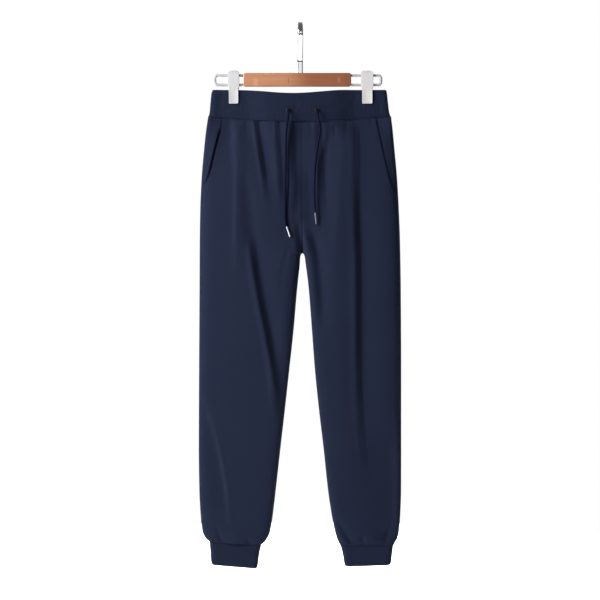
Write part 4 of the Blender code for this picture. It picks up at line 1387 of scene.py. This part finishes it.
def wood_finish():
    material, tree, shader, place = new_finish("varnished wood", Coat_Weight=0.35, Coat_Roughness=0.18)
    stretched = shader_node(
        tree, "Mapping", Vector=place, Scale=(9.0, 60.0, 150.0), Rotation=(0.0, 0.06, 0.0)
    )
    grain = noise(tree, stretched.outputs[0], 1.0, 6.0)
    fine = shader_node(tree, "Mapping", Vector=place, Scale=(60.0, 500.0, 1500.0))
    pores = noise(tree, fine.outputs[0], 1.0, 3.0)
    along, _, up = shader_node(tree, "SeparateXYZ", Vector=place).outputs
    tan = blend_colours(tree, grain, (0.58, 0.29, 0.160), (0.44, 0.175, 0.080))
    red = blend_colours(tree, grain, (0.355, 0.116, 0.044), (0.235, 0.070, 0.026))
    colour = blend_colours(tree, soft_step(tree, along, *TAN_TO_RED), tan, red)
    for x, z, reach, stretch, share, mark in WOOD_MARKS:
        off_x = reckon(tree, "POWER", reckon(tree, "SUBTRACT", along, x), 2.0)
        off_z = reckon(tree, "MULTIPLY", reckon(tree, "SUBTRACT", up, z), stretch)
        off = reckon(tree, "SQRT", reckon(tree, "ADD", off_x, reckon(tree, "POWER", off_z, 2.0)))
        near = reckon(tree, "MULTIPLY", soft_step(tree, off, reach, reach * 0.2), share)
        colour = blend_colours(tree, near, colour, mark)
    colour = blend_colours(tree, reckon(tree, "MULTIPLY", pores, 0.3), colour, (0.12, 0.045, 0.02))
    set_sockets(tree, shader, Base_Color=colour, Roughness=reckon(tree, "MULTIPLY_ADD", pores, 0.2, 0.28))
    set_relief(tree, shader, reckon(tree, "ADD", pores, grain), 0.00015)
    return material


bpy.data.objects["hanger_bar"].material_slots[0].material = wood_finish()


# ---- Hook ----
# A flat strip of bright chromed steel with rounded edges. Its stem stands in the bar, and the strip
# bends forwards, up over the rail and down behind it, ever narrower towards its free end.

# Distance from the free end, width of the strip
HOOK_WIDTHS = (
    (0, 7),
    (44, 7.2),
    (58, 9),
    (80, 10),
    (115, 10.8),
    (140, 12),
)
HOOK_THICKNESS = 3.0
HOOK_INNER_RADIUS = 21.0
HOOK_FREE_END = 13.0
HOOK_NECK_DOWN = 77.4
HOOK_NECK_RADIUS = 20.0
HOOK_TURNED = math.radians(3.4)
HOOK_EDGE = 1.0
# Steps of the free end, the arch, the neck's straight and its bend, the stem, and a rounded edge
HOOK_STEPS = (6, 72, 10, 12, 8, 4)
BAR_X = {"right": -119.1, "left": 107.3}
BAR_TOP_DOWN = 103.7


def arc(middle, radius, angles, way=1.0):
    """Points of an arc about a middle, as (across, up)."""
    return [
        (middle[0] + way * radius * math.cos(angle), middle[1] + radius * math.sin(angle))
        for angle in angles
    ]


def rounded_rectangle(width, height, corner, corner_steps):
    outline = []
    for n, (x, z) in enumerate(((1, 1), (-1, 1), (-1, -1), (1, -1))):
        middle = (x * (width / 2 - corner), z * (height / 2 - corner))
        outline += arc(middle, corner, steps_to(n * QUARTER, (n + 1) * QUARTER, corner_steps))
    return outline


def strip_edges(walked):
    return rounded_rectangle(read(HOOK_WIDTHS, walked, 1), HOOK_THICKNESS, HOOK_EDGE, HOOK_STEPS[5])


def hook_points():
    """The middle of the strip: its free end, over the rail, down the neck and down the stem."""
    end_steps, arch_steps, neck_steps, bend_steps, stem_steps, _ = HOOK_STEPS
    radius = HOOK_INNER_RADIUS + HOOK_THICKNESS / 2
    centre = -HOOK_INNER_RADIUS
    lean = math.asin(radius / (HOOK_NECK_DOWN - HOOK_INNER_RADIUS))
    path = [(radius, z) for z in steps(centre - HOOK_FREE_END, centre, end_steps)]
    path += arc((0.0, centre), radius, steps(0.0, math.pi + lean, arch_steps))
    top = Vector((-radius * math.cos(lean), centre - radius * math.sin(lean)))
    bend_z = -HOOK_NECK_DOWN - HOOK_NECK_RADIUS * math.tan(lean / 2)
    bend = arc((-HOOK_NECK_RADIUS, bend_z), HOOK_NECK_RADIUS, steps_to(lean, 0.0, bend_steps))
    path += [top.lerp(Vector(bend[0]), share) for share in steps(0.0, 1.0, neck_steps)] + bend
    path += [(0.0, z) for z in steps_to(bend_z, -BAR_TOP_DOWN, stem_steps)[1:]]
    return [Vector((0.0, y, z)) for y, z in path]


chrome = clouded_finish(
    "bright chrome", (0.88, 0.88, 0.90), (0.78, 0.78, 0.81), 180.0, 0.04, 0.10, Metallic=1.0
)
bm = sweep(hook_points(), Vector((1.0, 0.0, 0.0)), strip_edges)
bmesh.ops.rotate(bm, cent=(0, 0, 0), matrix=Matrix.Rotation(HOOK_TURNED, 3, "Z"), verts=bm.verts)
finish_piece("hook_strip", bm, chrome, "hanger_hook", 40)


# ---- Wire loops ----
# From each end of the bar a steel wire goes out, turns back at a small radius and goes in again lower
# down. The clips slide on the two runs of the loop.

WIRE_RADIUS = 2.9
WIRE_SIDES = 24
WIRE_DOWN = (108.7, 128.5)
WIRE_CORNER = 6.0
WIRE_END_X = {"right": -178.4, "left": 170.0}
# Steps of a straight run and of a corner
WIRE_STEPS = (12, 10)


def wire_points(side):
    way = -INWARDS[side]
    start, corner_x = BAR_X[side], WIRE_END_X[side] - way * WIRE_CORNER
    upper, lower = (-down for down in WIRE_DOWN)
    path = [(x, upper) for x in steps(start, corner_x, WIRE_STEPS[0])]
    for z, first in ((upper - WIRE_CORNER, QUARTER), (lower + WIRE_CORNER, 0.0)):
        path += arc((corner_x, z), WIRE_CORNER, steps_to(first, first - QUARTER, WIRE_STEPS[1]), way)
    path += [(x, lower) for x in steps_to(corner_x, start, WIRE_STEPS[0])[1:]]
    return [Vector((x, 0.0, z)) for x, z in path]


wire_round = arc((0.0, 0.0), WIRE_RADIUS, steps(0.0, 2 * math.pi, WIRE_SIDES))
steel = metal_finish("steel wire", (0.45, 0.45, 0.465), (0.40, 0.40, 0.415), 0.5, metallic=0.0)
for side in SIDES:
    bm = sweep(wire_points(side), Vector((0.0, 1.0, 0.0)), lambda walked: wire_round)
    finish_piece(f"wire_loop_{side}", bm, steel, f"hanger_wire_{side}")


# ---- Clips ----
# Each clip is moulded in one piece from white plastic and folded over the two wires. Its jaws, with a
# raised rim, hold the waistband.

CLIP_WIDTH = {"right": 0.92, "left": 1.0}
CLIP_HEAD_CORNER = 3.6
CLIP_RIM = 2.6
CLIP_RECESS = 0.7
CLIP_ROUNDING = 0.7
CLIP_ROUNDING_STEPS = 3
CLIP_SHARP = math.radians(35.0)
CLIP_SAME_FACE = math.radians(2.0)
# A jaw's outer face: its least area, how far down and how far out it is
JAW_AREA = 400.0
JAW_DOWN = 140.0
JAW_OUT = 6.0


def plastic_finish(name, colour, soiled):
    """Semi-gloss white plastic with the faint waviness of moulding and a little soiling."""
    glow = {"Subsurface_Weight": 0.05, "Subsurface_Radius": (0.002, 0.002, 0.002)}
    return clouded_finish(name, colour, soiled, 70.0, 0.24, 0.2, waves=0.00005, **glow)


def make_clip(side, material):
    bm = bmesh.new()
    bm.from_mesh(bpy.data.objects[f"hanger_clip_{side}"].data)
    bmesh.ops.scale(bm, vec=(1 / MM, 1 / MM, 1 / MM), verts=bm.verts)
    merge_doubles(bm, 0.01)
    bmesh.ops.dissolve_limit(bm, angle_limit=CLIP_SAME_FACE, verts=bm.verts, edges=bm.edges)
    bm.normal_update()
    middle, top = CLIP_X[side], max(vert.co.z for vert in bm.verts)
    for vert in bm.verts:
        narrowed = CLIP_HEAD_CORNER * (1.0 - turn((top - vert.co.z) / CLIP_HEAD_CORNER))
        away = (vert.co.x - middle) * CLIP_WIDTH[side]
        vert.co.x = middle + away - math.copysign(min(narrowed, abs(away)), away)
    jaws = []
    for face in bm.faces:
        centre = face.calc_center_median()
        facing_out = abs(face.normal.y) > 0.9 and face.calc_area() > JAW_AREA
        if facing_out and centre.z < -JAW_DOWN and abs(centre.y) > JAW_OUT:
            jaws.append(face)
    bmesh.ops.inset_individual(bm, faces=jaws, thickness=CLIP_RIM, depth=-CLIP_RECESS)
    clip = finish_piece(f"folded_clip_{side}", bm, material, f"hanger_clip_{side}", 40)
    rounding = clip.modifiers.new("rounded edges", "BEVEL")
    rounding.width = CLIP_ROUNDING * MM
    rounding.segments = CLIP_ROUNDING_STEPS
    rounding.limit_method = "ANGLE"
    rounding.angle_limit = CLIP_SHARP
    rounding.harden_normals = True


# Painted light: the two clips are one white plastic, but the left clip's copy is painted lighter and the
# right clip's darker, to even out the key lamp, which lights the right clip more.
plastic = {
    "right": plastic_finish("white plastic", (0.545, 0.55, 0.57), (0.51, 0.51, 0.53)),
    "left": plastic_finish("white plastic painted lighter", (0.685, 0.665, 0.675), (0.65, 0.625, 0.635)),
}
for side in SIDES:
    make_clip(side, plastic[side])
